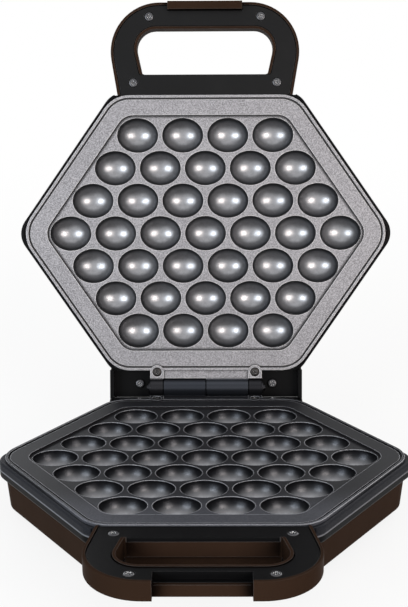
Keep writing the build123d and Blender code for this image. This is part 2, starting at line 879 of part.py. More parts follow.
# Fasteners that both halves share

def both_screws(half, prefix, cover_v, cover_drop):
    """Screws of the plate, the handle cover, the hinge cover and the reflector of one half."""
    lower = "lower" if prefix == "base" else "upper"
    screw(
        plate_screw_spots(half, bead_drop + screw_sink + plate_head_height),
        plate_head_diameter,
        plate_head_height,
        plate_shank_diameter,
        plate_shank_length,
        f"{lower}_plate_screws",
    )
    screw(
        cover_spots(half, cover_face_drop + cover_head_sink),
        cover_head_diameter,
        cover_head_height,
        cover_shank_diameter,
        cover_shank_length,
        f"{prefix}_handle_screws",
    )
    screw(
        pairs(half, hinge_cover_screw_u, cover_v, cover_drop),
        cover_head_diameter,
        cover_head_height,
        cover_shank_diameter,
        hinge_shank_length,
        f"{prefix}_hinge_cover_screws",
    )
    screw(
        turned(reflector_spots(half, reflector_drop + reflector_thickness)),
        reflector_head_diameter,
        reflector_head_height,
        reflector_shank_diameter,
        reflector_shank_length,
        f"{lower}_reflector_screws",
    )


both_screws(base_half, "base", base_cover_screw_v, stop_drop)
both_screws(lid_half, "lid", lid_cover_screw_v, panel_drop)


def heating_rod(half, name):
    """Sheathed rod bent round the plate, with two legs and their connection pins."""
    leg_drop = block_depth + rod_leg_drop
    run = [(u, v, -block_depth) for u, v in rod_points(rod_leg_half)]
    first = (rod_leg_half, rod_v, -leg_drop)
    last = (-rod_leg_half, rod_v, -leg_drop)
    with BuildPart() as rod:
        with BuildLine(half) as path:
            FilletPolyline(first, *run, last, radius=rod_bend)
        with BuildSketch(Plane(origin=path.line @ 0, z_dir=path.line % 0)):
            Circle(rod_radius)
        sweep(path=path.line)
        with Locations(*pairs(half, rod_leg_half, rod_v, leg_drop)):
            Cylinder(rod_pin_diameter / 2, rod_pin_length, align=hanging)
    finish(rod, name)


def reflector(half, name):
    """Sheet tray under the rod, with holes for its legs, its screws and the control part."""
    out = Axis(half.origin, half.z_dir)
    with BuildPart() as tray:
        with BuildSketch(half.offset(-reflector_drop - reflector_rim)):
            add(hexagon(-reflector_inset, field_corner))
        extrude(amount=reflector_rim)
        under = tray.faces().sort_by(out)[0]
        offset(amount=-reflector_thickness, openings=under)
        with Locations(*reflector_spots(half, reflector_drop)):
            Hole(reflector_shank_diameter / 2 + fit_gap, reflector_rim)
        hole_radius = rod_radius + rod_hole_gap
        slot_far = rod_leg_half + rod_bend - rod_radius
        for slot_u in (rod_leg_half, slot_far):
            with Locations(*pairs(half, slot_u, rod_v, reflector_drop)):
                Hole(hole_radius, reflector_rim)
        for slot_span in ((-slot_far, -rod_leg_half), (rod_leg_half, slot_far)):
            slot_v_span = (rod_v - hole_radius, rod_v + hole_radius)
            block(half, slot_span, slot_v_span, (reflector_drop, reflector_drop + reflector_rim))
        with Locations(*control_spots(half, reflector_drop)):
            Hole(control_ear_width / 2 + control_window_gap, reflector_rim)
        with Locations(spot(half, 0, hinge_to_centre, reflector_drop)):
            Hole(thermostat_diameter / 2 + control_window_gap, reflector_rim)
        ear_half = control_ear_width / 2 + control_window_gap
        window_span = (hinge_to_centre - ear_half, hinge_to_centre + ear_half)
        window_drops = (reflector_drop, reflector_drop + reflector_rim)
        block(half, (-control_ear_u, control_ear_u), window_span, window_drops)
    finish(tray, name)


heating_rod(base_half, "lower_heating_element")
heating_rod(lid_half, "upper_heating_element")
reflector(base_half, "lower_heat_reflector")
reflector(lid_half, "upper_heat_reflector")

control_face_drop = control_pad_drop + control_ear_thickness


def control_ears(half):
    """Flat strip with two round ends that the control screws clamp to the plate."""
    ear_half = control_ear_width / 2
    span = (hinge_to_centre - ear_half, hinge_to_centre + ear_half)
    drops = (control_pad_drop, control_face_drop)
    block(half, (-control_ear_u, control_ear_u), span, drops, mode=Mode.ADD)
    with Locations(*control_spots(half, control_pad_drop)):
        Cylinder(ear_half, control_ear_thickness, align=hanging)
        Cylinder(
            reflector_shank_diameter / 2 + fit_gap,
            control_ear_thickness,
            align=hanging,
            mode=Mode.SUBTRACT,
        )


# Thermostat in the middle of the upper plate
with BuildPart() as thermostat:
    control_ears(lid_half)
    with Locations(spot(lid_half, 0, hinge_to_centre, control_pad_drop)):
        Cylinder(thermostat_diameter / 2, thermostat_height, align=hanging)
    pin_drop = control_pad_drop + thermostat_height
    for pin_v in (-thermostat_pin_v, thermostat_pin_v):
        with Locations(spot(lid_half, 0, hinge_to_centre + pin_v, pin_drop)):
            Box(
                thermostat_pin_width,
                thermostat_pin_thickness,
                thermostat_pin_length,
                align=hanging,
            )
finish(thermostat, "thermostat")
screw(
    turned(control_spots(lid_half, control_face_drop)),
    reflector_head_diameter,
    reflector_head_height,
    reflector_shank_diameter,
    control_screw_length,
    "thermostat_screws",
)

# Thermal fuse on the lower plate and the clamp that holds it down
fuse_drop = control_pad_drop + fuse_diameter / 2 + fit_gap
fuse_place = rear_location(base_half, 0, hinge_to_centre, fuse_drop)
with BuildPart() as thermal_fuse:
    with Locations(fuse_place):
        Cylinder(fuse_diameter / 2, fuse_length)
        Cylinder(fuse_lead_diameter / 2, fuse_length + 2 * fuse_lead_length)
finish(thermal_fuse, "thermal_fuse")

with BuildPart() as fuse_clamp:
    control_ears(base_half)
    bow_radius = fuse_diameter / 2 + fit_gap
    with Locations(fuse_place):
        Cylinder(bow_radius + control_ear_thickness, control_ear_width)
        Cylinder(bow_radius, control_ear_width, mode=Mode.SUBTRACT)
    fuse_span = (hinge_to_centre - control_ear_width, hinge_to_centre + control_ear_width)
    block(base_half, (-bow_radius, bow_radius), fuse_span, (0, fuse_drop))
    block(base_half, (-rear_half, rear_half), fuse_span, (0, control_pad_drop))
finish(fuse_clamp, "fuse_clamp")
screw(
    turned(control_spots(base_half, control_face_drop)),
    reflector_head_diameter,
    reflector_head_height,
    reflector_shank_diameter,
    control_screw_length,
    "fuse_clamp_screws",
)

# Terminal block on the floor behind the wall of the body
terminal_top_drop = floor_inner_drop - terminal_height
with BuildPart() as terminal_block:
    with Locations(spot(base_half, 0, terminal_v, terminal_top_drop)):
        Box(terminal_length, terminal_width, terminal_height, align=hanging)
    for pole in range(terminal_poles):
        pole_u = (pole - (terminal_poles - 1) / 2) * terminal_pole_pitch
        bore_drop = floor_inner_drop - terminal_bore_height
        with Locations(rear_location(base_half, pole_u, terminal_v, bore_drop)):
            Cylinder(terminal_pole_bore / 2, terminal_width, mode=Mode.SUBTRACT)
        with Locations(spot(base_half, pole_u, terminal_v, terminal_top_drop)):
            Hole(terminal_pole_bore / 2, terminal_height - terminal_bore_height)
    with Locations(*terminal_spots(terminal_top_drop)):
        Hole(reflector_shank_diameter / 2 + fit_gap, terminal_height)
finish(terminal_block, "terminal_block")
screw(
    terminal_spots(terminal_top_drop),
    reflector_head_diameter,
    reflector_head_height,
    reflector_shank_diameter,
    terminal_height + terminal_bite,
    "terminal_block_screws",
)

# Cord gland in the back wall
with BuildPart() as cord_gland:
    with Locations(gland_spot(-block_reach)):
        Cylinder(gland_flange_diameter / 2, gland_flange_thickness, align=standing)
        Cylinder(gland_body_diameter / 2, wall + gland_tail, align=hanging)
    away = Axis(base_half.origin, base_half.y_dir * -1)
    fillet(cord_gland.faces().sort_by(away)[-1].edges(), gland_edge_radius)
    with Locations(gland_spot(-block_reach - gland_flange_thickness)):
        Hole(gland_bore / 2, gland_flange_thickness + wall + gland_tail)
finish(cord_gland, "cord_gland")

# Rubber feet and their screws
with BuildPart() as base_feet:
    with Locations(*foot_spots(half_depth - foot_seat)):
        Cone(
            foot_diameter / 2,
            foot_tip_diameter / 2,
            foot_seat + foot_height,
            align=standing,
        )
    soles = base_feet.faces().group_by(Axis.Z)[0]
    fillet(soles.edges(), foot_edge_radius)
    with Locations(*foot_spots(half_depth + foot_height)):
        CounterBoreHole(
            foot_screw_shank / 2 + fit_gap,
            foot_screw_head / 2 + fit_gap,
            foot_screw_sink,
            foot_seat + foot_height,
        )
finish(base_feet, "base_feet")
screw(
    foot_spots(half_depth + foot_height - foot_screw_sink),
    foot_screw_head,
    foot_screw_head_height,
    foot_screw_shank,
    foot_screw_length,
    "base_foot_screws",
)

# Hinge pin with a clip in a groove at each end
pin_half = knuckle_end + pin_overhang
clip_u = knuckle_end + clip_gap
with BuildPart() as hinge_pin:
    with BuildSketch(side(base_half, -pin_half)):
        with Locations((0, axis_rise)):
            Circle(pin_diameter / 2)
    extrude(amount=2 * pin_half)
    for u in (-clip_u - clip_thickness, clip_u):
        with BuildSketch(side(base_half, u)):
            with Locations((0, axis_rise)):
                Circle(pin_diameter / 2 + overrun)
                Circle(pin_diameter / 2 - clip_seat_depth, mode=Mode.SUBTRACT)
        extrude(amount=clip_thickness, mode=Mode.SUBTRACT)
finish(hinge_pin, "hinge_pin")

with BuildPart() as hinge_pin_clips:
    for u in (-clip_u - clip_thickness, clip_u):
        with BuildSketch(side(base_half, u)):
            with Locations((0, axis_rise)):
                Circle(clip_diameter / 2)
                Circle(pin_diameter / 2 - clip_seat_depth + pin_seat_clearance, mode=Mode.SUBTRACT)
            with Locations((-clip_diameter / 2, axis_rise)):
                Rectangle(clip_diameter, clip_mouth, mode=Mode.SUBTRACT)
        extrude(amount=clip_thickness)
finish(hinge_pin_clips, "hinge_pin_clips")


def light(u, lens_name, lamp_name):
    """Lens in the outer face of the lid and the lamp inside it."""
    out = Axis(lid_half.origin, lid_half.z_dir)
    top = turned([spot(lid_half, u, lens_v, half_depth)])
    lamp_drop = half_depth - lens_wall - lamp_gap
    bore = lens_diameter / 2 - lens_wall
    with BuildPart() as lens:
        with Locations(*top):
            Cylinder(lens_flange_diameter / 2, lens_flange_thickness, align=standing)
            Cylinder(lens_diameter / 2, lens_tube_length, align=hanging)
        fillet(lens.faces().sort_by(out)[0].edges(), lens_edge_radius)
        with Locations(spot(lid_half, u, lens_v, half_depth - lens_tube_length)):
            Hole(bore, lens_tube_length - lens_wall)
    finish(lens, lens_name)
    with BuildPart() as lamp:
        with Locations(spot(lid_half, u, lens_v, lamp_drop)):
            Cylinder(bore - lamp_gap, lamp_length, align=standing)
        fillet(lamp.faces().sort_by(out)[0].edges(), bore / 2)
    finish(lamp, lamp_name)


light(-lens_u, "power_lens", "power_lamp")
light(lens_u, "ready_lens", "ready_lamp")
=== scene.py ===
"""Looks of the bubble waffle maker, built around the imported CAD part."""

from __future__ import annotations

import logging
import math
from collections.abc import Callable
from dataclasses import dataclass, field
from enum import Enum
from typing import Any, ClassVar, TypeAlias

import bmesh
import bpy
from mathutils import Euler, Matrix, Vector


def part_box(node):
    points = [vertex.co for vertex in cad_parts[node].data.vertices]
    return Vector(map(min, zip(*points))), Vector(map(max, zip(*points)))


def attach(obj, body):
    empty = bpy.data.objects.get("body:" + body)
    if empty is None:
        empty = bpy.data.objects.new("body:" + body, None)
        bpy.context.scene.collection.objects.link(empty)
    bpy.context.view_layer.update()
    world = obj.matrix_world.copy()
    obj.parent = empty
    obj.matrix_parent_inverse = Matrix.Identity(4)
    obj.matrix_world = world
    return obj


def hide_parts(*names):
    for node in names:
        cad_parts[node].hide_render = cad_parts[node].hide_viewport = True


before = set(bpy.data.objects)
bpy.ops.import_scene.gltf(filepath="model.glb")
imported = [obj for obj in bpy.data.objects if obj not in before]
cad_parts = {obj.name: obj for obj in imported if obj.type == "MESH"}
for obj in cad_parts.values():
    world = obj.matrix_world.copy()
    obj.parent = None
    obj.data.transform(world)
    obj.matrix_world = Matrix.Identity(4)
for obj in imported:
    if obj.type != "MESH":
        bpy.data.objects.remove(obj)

log = logging.getLogger("waffle_maker")

MM = 0.001
MIX_FIRST, MIX_SECOND, MIX_RESULT = 6, 7, 2
BEVEL_SAMPLES, SKY_SAMPLES = 4, 6
WHITE = (1.0, 1.0, 1.0, 1.0)

Triple: TypeAlias = tuple[float, float, float]
Pair: TypeAlias = tuple[float, float]


class Body(Enum):
    """The two bodies that the hinge joins."""

    BASE = "base"
    LID = "lid"


class Finish(Enum):
    """Names of the finishes."""

    UPPER_COATING = "upper_coating"
    LOWER_COATING = "lower_coating"
    LIPPED_RING = "lipped_ring"
    SHELL_BROWN = "shell_brown"
    TRIM_BLACK = "trim_black"
    GRIP_BLACK = "grip_black"
    COVER_BLACK = "cover_black"
    RUBBER_BLACK = "rubber_black"
    PHENOLIC = "phenolic"
    CERAMIC_WHITE = "ceramic_white"
    PLATED_STEEL = "plated_steel"
    BLACK_OXIDE = "black_oxide"
    DARK_SCREW = "dark_screw"
    BLUED_STEEL = "blued_steel"
    HEATER_SHEATH = "heater_sheath"
    SHEET_STEEL = "sheet_steel"
    RED_LENS = "red_lens"
    GREEN_LENS = "green_lens"
    LAMP_GLASS = "lamp_glass"


@dataclass(frozen=True)
class Grain:
    """Kind of noise: cells per metre, octaves and strength of the finer octaves."""

    scale: float
    detail: float
    roughness: float


# Noises of the finishes
CASTING_SAND = Grain(1500.0, 3.0, 0.7)
CASTING_CLOUD = Grain(30.0, 3.0, 0.5)
CASTING_SCUFF = Grain(420.0, 4.0, 0.7)
PLASTIC_CLOUD = Grain(22.0, 4.0, 0.55)
PLASTIC_SKIN = Grain(3200.0, 2.0, 0.6)
PLASTIC_SMUDGE = Grain(75.0, 5.0, 0.6)
STEEL_MARKS = Grain(900.0, 4.0, 0.7)
STEEL_STAIN = Grain(160.0, 4.0, 0.6)
FLOOR_TONE = Grain(2.0, 2.0, 0.5)

# Values where a mask is 0 and where it is 1
SPECKLE_MASK = (0.36, 0.66)
SCUFF_MASK = (0.35, 0.7)
SMUDGE_MASK = (0.45, 0.75)
STAIN_MASK = (0.4, 0.7)
EDGE_WEAR_AND_HIGHLIGHT_MASK = (0.99, 0.92)
HOLLOW_MASK = (0.975, 0.89)
HOLLOW_SHADE_MASK = (0.98, 0.7)


class Sock:
    """A shader value that can be used in plain arithmetic."""

    def __init__(self, bench: Bench, socket: Any) -> None:
        """Keep the bench and the output socket."""
        self.bench = bench
        self.socket = socket

    def _math(self, operation: str, *values: Any, clamp: bool = False) -> Sock:
        """Add a Math node.

        Args:
            operation: Name of the operation.
            values: Numbers or other values, in the order of the node's sockets.
            clamp: Whether the result is held between 0 and 1.

        Returns:
            The node's result.
        """
        settings = {"operation": operation, "use_clamp": clamp}
        return self.bench.node("ShaderNodeMath", settings, dict(enumerate(values)))

    def __add__(self, other: Any) -> Sock:
        """Sum."""
        return self._math("ADD", self, other)

    __radd__ = __add__

    def __sub__(self, other: Any) -> Sock:
        """Difference."""
        return self._math("SUBTRACT", self, other)

    def __rsub__(self, other: Any) -> Sock:
        """Difference from a number."""
        return self._math("SUBTRACT", other, self)

    def __mul__(self, other: Any) -> Sock:
        """Product."""
        return self._math("MULTIPLY", self, other)

    __rmul__ = __mul__

    def __truediv__(self, other: Any) -> Sock:
        """Quotient."""
        return self._math("DIVIDE", self, other)

    def __rtruediv__(self, other: Any) -> Sock:
        """Quotient of a number."""
        return self._math("DIVIDE", other, self)

    def __neg__(self) -> Sock:
        """Negative."""
        return self._math("MULTIPLY", self, -1.0)

    def __abs__(self) -> Sock:
        """Size without its sign."""
        return self._math("ABSOLUTE", self)

    def most(self, other: Any) -> Sock:
        """The larger of two values."""
        return self._math("MAXIMUM", self, other)

    def held(self) -> Sock:
        """The value held between 0 and 1."""
        return self._math("ADD", self, 0.0, clamp=True)

    def zigzag(self, width: float) -> Sock:
        """The value folded so that it rises from 0 to a width and falls again."""
        return self._math("PINGPONG", self, width)

    def ramp(self, low: float, high: float) -> Sock:
        """Smooth step from 0 at low to 1 at high.

        Args:
            low: Value where the step starts.
            high: Value where it ends; below low, the step falls.

        Returns:
            The step.
        """
        return self.bench.node(
            "ShaderNodeMapRange",
            {"interpolation_type": "SMOOTHSTEP"},
            {"Value": self, "From Min": low, "From Max": high},
        )

    def span(self, ends: Pair) -> Sock:
        """Smooth step of a distance, from 0 at the first end to 1 at the second, both in mm."""
        return self.ramp(ends[0] * MM, ends[1] * MM)


class Bench:
    """Node tree of one material, with the few calls that the finishes need."""

    def __init__(self, name: str) -> None:
        """Start an empty node material.

        Args:
            name: Name of the material.
        """
        self.material = bpy.data.materials.new(name)
        self.material.use_nodes = True
        self.tree = self.material.node_tree
        self.tree.nodes.clear()

    @classmethod
    def of(cls, tree: bpy.types.NodeTree) -> Bench:
        """Work on a node tree that exists already.

        Args:
            tree: The tree, which is emptied.

        Returns:
            The bench.
        """
        bench = cls.__new__(cls)
        bench.material, bench.tree = None, tree
        tree.nodes.clear()
        return bench

    def node(self, kind: str, settings: dict[str, Any], inputs: dict[Any, Any], out: Any = None) -> Sock:
        """Add one node.

        Args:
            kind: Node type.
            settings: Attributes, set before the sockets.
            inputs: Socket name or number to value or link.
            out: Name or number of the output, or nothing for the first one that is in use.

        Returns:
            The chosen output.
        """
        node = self.tree.nodes.new(kind)
        for key, value in settings.items():
            setattr(node, key, value)
        for key, value in inputs.items():
            socket = node.inputs[key]
            if isinstance(value, Sock):
                self.tree.links.new(value.socket, socket)
            else:
                socket.default_value = value
        if out is None:
            return Sock(self, next((s for s in node.outputs if s.enabled), None))
        return Sock(self, node.outputs[out])

    def vector(self, operation: str, *values: Any, out: str = "Value") -> Sock:
        """Add a Vector Math node.

        Args:
            operation: Name of the operation.
            values: Vectors or links, in the order of the node's sockets.
            out: Name of the output.

        Returns:
            The node's result.
        """
        return self.node("ShaderNodeVectorMath", {"operation": operation}, dict(enumerate(values)), out)

    def place(self) -> Sock:
        """Place on the piece, in metres."""
        return self.node("ShaderNodeTexCoord", {}, {}, "Object")

    def along(self, place: Sock, axis: Vector, start: float = 0.0) -> Sock:
        """Distance of a place along an axis.

        Args:
            place: The place.
            axis: Unit axis.
            start: Distance that counts as zero.

        Returns:
            The distance in metres.
        """
        return self.vector("DOT_PRODUCT", place, tuple(axis)) - start

    def from_hinge(self, place: Sock, axis: Vector) -> Sock:
        """Distance of a place from the hinge axis, wherever it is along the hinge.

        Args:
            place: The place.
            axis: Middle of the hinge axis.

        Returns:
            The distance in metres.
        """
        flattened = self.vector("MULTIPLY", place, (0.0, 1.0, 1.0), out="Vector")
        return self.vector("DISTANCE", flattened, tuple(axis))

    def noise(self, grain: Grain, stretch: Triple = (1.0, 1.0, 1.0)) -> Sock:
        """Noise on object coordinates, about 0 to 1.

        Args:
            grain: Kind of noise.
            stretch: Scale along each axis.

        Returns:
            The noise.
        """
        mapped = self.node("ShaderNodeMapping", {}, {"Vector": self.place(), "Scale": stretch})
        inputs = {
            "Vector": mapped,
            "Scale": grain.scale,
            "Detail": grain.detail,
            "Roughness": grain.roughness,
        }
        return self.node("ShaderNodeTexNoise", {}, inputs, "Fac")

    def colour(self, amount: Sock, low: Triple | Sock, high: Triple | Sock) -> Sock:
        """Blend of two colours.

        Args:
            amount: 0 for the first, 1 for the second.
            low: First colour or link.
            high: Second colour or link.

        Returns:
            The colour.
        """
        inputs = {
            "Factor": amount,
            MIX_FIRST: low if isinstance(low, Sock) else (*low, 1.0),
            MIX_SECOND: high if isinstance(high, Sock) else (*high, 1.0),
        }
        return self.node("ShaderNodeMix", {"data_type": "RGBA"}, inputs, MIX_RESULT)

    def soft_edge(self, radius: float) -> Sock:
        """Normal with its sharp edges rounded off."""
        return self.node("ShaderNodeBevel", {"samples": BEVEL_SAMPLES}, {"Radius": radius}, "Normal")

    def edge_wear_and_highlight(self, radius: float) -> Sock:
        """Mask that is 1 on sharp edges and 0 on flat ground, used both for rubbed edges and for painted
        highlights.

        Args:
            radius: How far from an edge it reaches, in metres.

        Returns:
            The mask.
        """
        plain = self.node("ShaderNodeNewGeometry", {}, {}, "Normal")
        return self.vector("DOT_PRODUCT", self.soft_edge(radius), plain).ramp(*EDGE_WEAR_AND_HIGHLIGHT_MASK)

    def open_sky(self, distance: float) -> Sock:
        """Share of the sky that a place sees past its own piece.

        Args:
            distance: How far it looks around, in metres.

        Returns:
            The share, 1 on open ground.
        """
        settings = {"samples": SKY_SAMPLES, "only_local": True}
        return self.node("ShaderNodeAmbientOcclusion", settings, {"Distance": distance}, "AO")

    def hollow(self, distance: float) -> Sock:
        """Mask that is 1 in grooves and at the foot of steps and 0 on open ground.

        Args:
            distance: How far it looks around, in metres.

        Returns:
            The mask.
        """
        return self.open_sky(distance).ramp(*HOLLOW_MASK)

    def bump(self, height: Sock, distance: float, normal: Sock, strength: float = 0.5) -> Sock:
        """Normal roughened by a height.

        Args:
            height: Height from 0 to 1.
            distance: Real height in metres.
            normal: Normal to start from.
            strength: Strength of the bump.

        Returns:
            The normal.
        """
        inputs = {"Height": height, "Distance": distance, "Strength": strength, "Normal": normal}
        return self.node("ShaderNodeBump", {}, inputs, "Normal")

    def finish(self, varying: dict[str, Sock], fixed: dict[str, float]) -> bpy.types.Material:
        """Close the material with one Principled shader.

        Args:
            varying: Sockets that take links.
            fixed: Sockets that hold one number.

        Returns:
            The material.
        """
        return self.close(self.node("ShaderNodeBsdfPrincipled", {}, {**fixed, **varying}, "BSDF"))

    def close(self, shader: Sock) -> bpy.types.Material:
        """Link a shader to the material's output.

        Args:
            shader: The shader.

        Returns:
            The material.
        """
        self.node("ShaderNodeOutputMaterial", {}, {"Surface": shader})
        return self.material

    def seen(self) -> Sock:
        """1 for camera, glossy and transmission rays, 0 for the rest.

        Returns:
            The mask.
        """
        rays = [
            self.node("ShaderNodeLightPath", {}, {}, name)
            for name in ("Is Camera Ray", "Is Glossy Ray", "Is Transmission Ray")
        ]
        return rays[0].most(rays[1]).most(rays[2])


@dataclass(frozen=True)
class HalfFrame:
    """Frame of one half: across the hinge, up to the handle and out of the cooking face."""

    origin: Vector
    across: Vector
    up: Vector
    out: Vector

    def point(self, u: float, v: float, drop: float) -> Vector:
        """Point of the half in the shared frame.

        Args:
            u: Distance along the hinge in mm.
            v: Distance from the hinge axis to the handle in mm.
            drop: Distance below the meeting plane in mm.

        Returns:
            The point in metres.
        """
        return self.origin + (self.across * u + self.up * v - self.out * drop) * MM

    def matrix(self, u: float, v: float, drop: float) -> Matrix:
        """Placement on the half with its z axis out of the cooking face.

        Args:
            u: Distance along the hinge in mm.
            v: Distance from the hinge axis in mm.
            drop: Distance below the meeting plane in mm.

        Returns:
            The matrix.
        """
        turn = Matrix((self.across, self.up, self.out)).transposed().to_4x4()
        return Matrix.Translation(self.point(u, v, drop)) @ turn

    def depth(self, bench: Bench, place: Sock) -> Sock:
        """Distance of a place below the meeting plane.

        Args:
            bench: Bench of the material.
            place: The place.

        Returns:
            The distance in metres.
        """
        return -bench.along(place, self.out, self.origin.dot(self.out))


@dataclass(frozen=True)
class Geometry:
    """Sizes that the looks share with the part, in mm and degrees."""

    hinge_height: float = 38.0
    axis_rise: float = 3.0
    opening_angle: float = 105.0

    @property
    def hinge_y(self) -> float:
        """Place of the hinge axis along Y, in metres."""
        pin_low, pin_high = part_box("hinge_pin")
        return (pin_low.y + pin_high.y) / 2

    @property
    def axis(self) -> Vector:
        """Middle of the hinge axis."""
        return Vector((0.0, self.hinge_y, self.hinge_height * MM))

    @property
    def base(self) -> HalfFrame:
        """Frame of the lower half."""
        origin = Vector((0.0, self.hinge_y, (self.hinge_height - self.axis_rise) * MM))
        return HalfFrame(origin, Vector((-1, 0, 0)), Vector((0, -1, 0)), Vector((0, 0, 1)))

    @property
    def lid(self) -> HalfFrame:
        """Frame of the upper half, standing open.

        Returns:
            The frame.
        """
        swing = math.radians(self.opening_angle)
        out = Vector((0.0, -math.sin(swing), -math.cos(swing)))
        origin = self.axis + out * self.axis_rise * MM
        return HalfFrame(origin, Vector((1, 0, 0)), out.cross(Vector((1, 0, 0))), out)


@dataclass(frozen=True)
class CoatedCasting:
    """Cast plate: sandy non-stick flats, cups with painted shade and a painted reflection, edges
    lightened both as rubbed coating and as painted highlight, painted shade in grooves, and dark
    knuckles.

    Lengths are in mm. A pair of them says where a mask is 0 and where it is 1.
    """

    finish: Finish
    half: HalfFrame
    axis: Vector
    flat: Triple
    flat_dark: Triple

    # Flats
    cloud_share: float = 0.2
    back_reach: Pair = (176.0, 138.0)
    back_shade: float = 0.0
    back_tone: Triple = (0.003, 0.003, 0.0035)
    groove_look: float = 2.3
    groove_shade_share: float = 0.95
    groove_shade_tone: Triple = (0.01, 0.0095, 0.011)
    # Edge colour and its share: rubbed coating and painted highlight.
    edge_mask_radius: float = 0.75
    edge: Triple = (0.7, 0.69, 0.7)
    wear_and_highlight_share: float = 0.8

    # Cups: painted shade on the lip and sides, painted reflection on the floor
    cup_top: Pair = (1.9, 2.5)
    cup_bottom: Pair = (14.0, 13.2)
    cup_side_shade: Triple = (0.019, 0.02, 0.023)
    cup_floor_reflection: Triple = (0.3, 0.302, 0.318)
    floor_fade: Pair = (5.2, 12.2)
    lip_top: Pair = (1.85, 2.0)
    lip_fade: Pair = (5.5, 2.4)
    cup_lip_shade_share: float = 0.9
    cup_lip_shade_tone: Triple = (0.008, 0.008, 0.01)
    scuff_share: float = 0.18
    scuff_tone: Triple = (0.03, 0.03, 0.034)

    # Knuckles
    knuckle_reach: Pair = (6.3, 5.95)
    knuckle_tone: Triple = (0.03, 0.033, 0.041)
    short_reach: Pair = (27.0, 27.4)
    short_share: float = 0.6
    short_tone: Triple = (0.011, 0.009, 0.0085)
    outer_joint: float = 27.2
    # Painted shade in the gaps where two knuckles meet.
    joint_reach: Pair = (0.5, 0.2)
    joint_shade_tone: Triple = (0.002, 0.002, 0.002)

    # Surface
    flat_roughness: float = 0.5
    cup_roughness: float = 0.3
    sand_roughness: float = 0.12
    cloud_roughness: float = 0.04
    scuff_roughness: float = 0.05
    sand_height: float = 0.05
    sand_smoothing: float = 0.8
    soft_radius: float = 0.35
    flat_metallic: float = 0.3
    smooth_metallic: float = 0.5
    specular: float = 0.4

    def build(self) -> bpy.types.Material:
        """Make the material.

        Returns:
            The material.
        """
        bench = Bench(self.finish.value)
        place = bench.place()
        drop = self.half.depth(bench, place)
        cup = drop.span(self.cup_top) * drop.span(self.cup_bottom)
        knuckle = bench.from_hinge(place, self.axis).span(self.knuckle_reach)
        sand = bench.noise(CASTING_SAND)
        cloud = bench.noise(CASTING_CLOUD)
        scuff = bench.noise(CASTING_SCUFF).ramp(*SCUFF_MASK)
        speckle = sand.ramp(*SPECKLE_MASK) * (1.0 - self.cloud_share) + cloud * self.cloud_share
        flat = self.flats(bench, place, speckle.held(), cup, knuckle)
        colour = bench.colour(cup, flat, self.bowls(bench, drop, scuff))
        colour = bench.colour(knuckle, colour, self.barrels(bench, place))
        smooth = (cup + knuckle).held()
        roughness = self.flat_roughness + sand * self.sand_roughness - self.sand_roughness / 2
        roughness = roughness + cloud * self.cloud_roughness
        roughness = roughness + smooth * (self.cup_roughness - self.flat_roughness)
        roughness = roughness + cup * scuff * self.scuff_roughness
        height = sand * (1.0 - smooth * self.sand_smoothing)
        normal = bench.bump(height, self.sand_height * MM, bench.soft_edge(self.soft_radius * MM))
        metallic = self.flat_metallic + smooth * self.smooth_metallic
        return bench.finish(
            {"Base Color": colour, "Roughness": roughness, "Normal": normal, "Metallic": metallic},
            {"Specular IOR Level": self.specular},
        )

    def flats(self, bench: Bench, place: Sock, speckle: Sock, cup: Sock, knuckle: Sock) -> Sock:
        """Colour of the flat faces, with painted shade in the grooves and, where set, towards the hinge,
        and edges lightened both as rubbed coating and as painted highlight.

        Args:
            bench: Bench of the material.
            place: Place on the piece.
            speckle: Mask of the light grains.
            cup: Mask of the cups.
            knuckle: Mask of the knuckles.

        Returns:
            The colour.
        """
        flat = bench.colour(speckle, self.flat_dark, self.flat)
        reach = bench.along(place, self.half.up, self.half.origin.dot(self.half.up))
        # Painted shade: with back_shade set, flats darken from the front edge back towards the hinge.
        flat = bench.colour(reach.span(self.back_reach) * self.back_shade, flat, self.back_tone)
        # Painted shade: grooves and the feet of steps are darkened as if in shadow.
        painted_groove_shade = bench.hollow(self.groove_look * MM) * (1.0 - cup)
        flat = bench.colour((painted_groove_shade * self.groove_shade_share).held(), flat, self.groove_shade_tone)
        # Edges are lightened both as rubbed coating and as painted highlight along crests and beads.
        wear_and_highlight = bench.edge_wear_and_highlight(self.edge_mask_radius * MM) * (1.0 - knuckle) * (1.0 - painted_groove_shade)
        return bench.colour(wear_and_highlight * self.wear_and_highlight_share, flat, self.edge)

    def bowls(self, bench: Bench, drop: Sock, scuff: Sock) -> Sock:
        """Colour of the cups: painted shade on the lip and the sides, a paler floor as painted
        reflection, and scuffs.

        Args:
            bench: Bench of the material.
            drop: Distance below the meeting plane.
            scuff: Mask of the scuffs.

        Returns:
            The colour.
        """
        lip = drop.span(self.lip_top) * drop.span(self.lip_fade)
        bowl = bench.colour(drop.span(self.floor_fade), self.cup_side_shade, self.cup_floor_reflection)
        bowl = bench.colour(lip * self.cup_lip_shade_share, bowl, self.cup_lip_shade_tone)
        return bench.colour(scuff * self.scuff_share, bowl, self.scuff_tone)

    def barrels(self, bench: Bench, place: Sock) -> Sock:
        """Colour of the knuckles, darker on the short ones, with painted shade where two meet.

        Args:
            bench: Bench of the material.
            place: Place on the piece.

        Returns:
            The colour.
        """
        across = abs(bench.along(place, self.half.across))
        outer = abs(across - self.outer_joint * MM)
        joint_shade = across.span(self.joint_reach) + outer.span(self.joint_reach)
        short = across.span(self.short_reach) * self.short_share
        barrel = bench.colour(short, self.knuckle_tone, self.short_tone)
        return bench.colour(joint_shade.held(), barrel, self.joint_shade_tone)


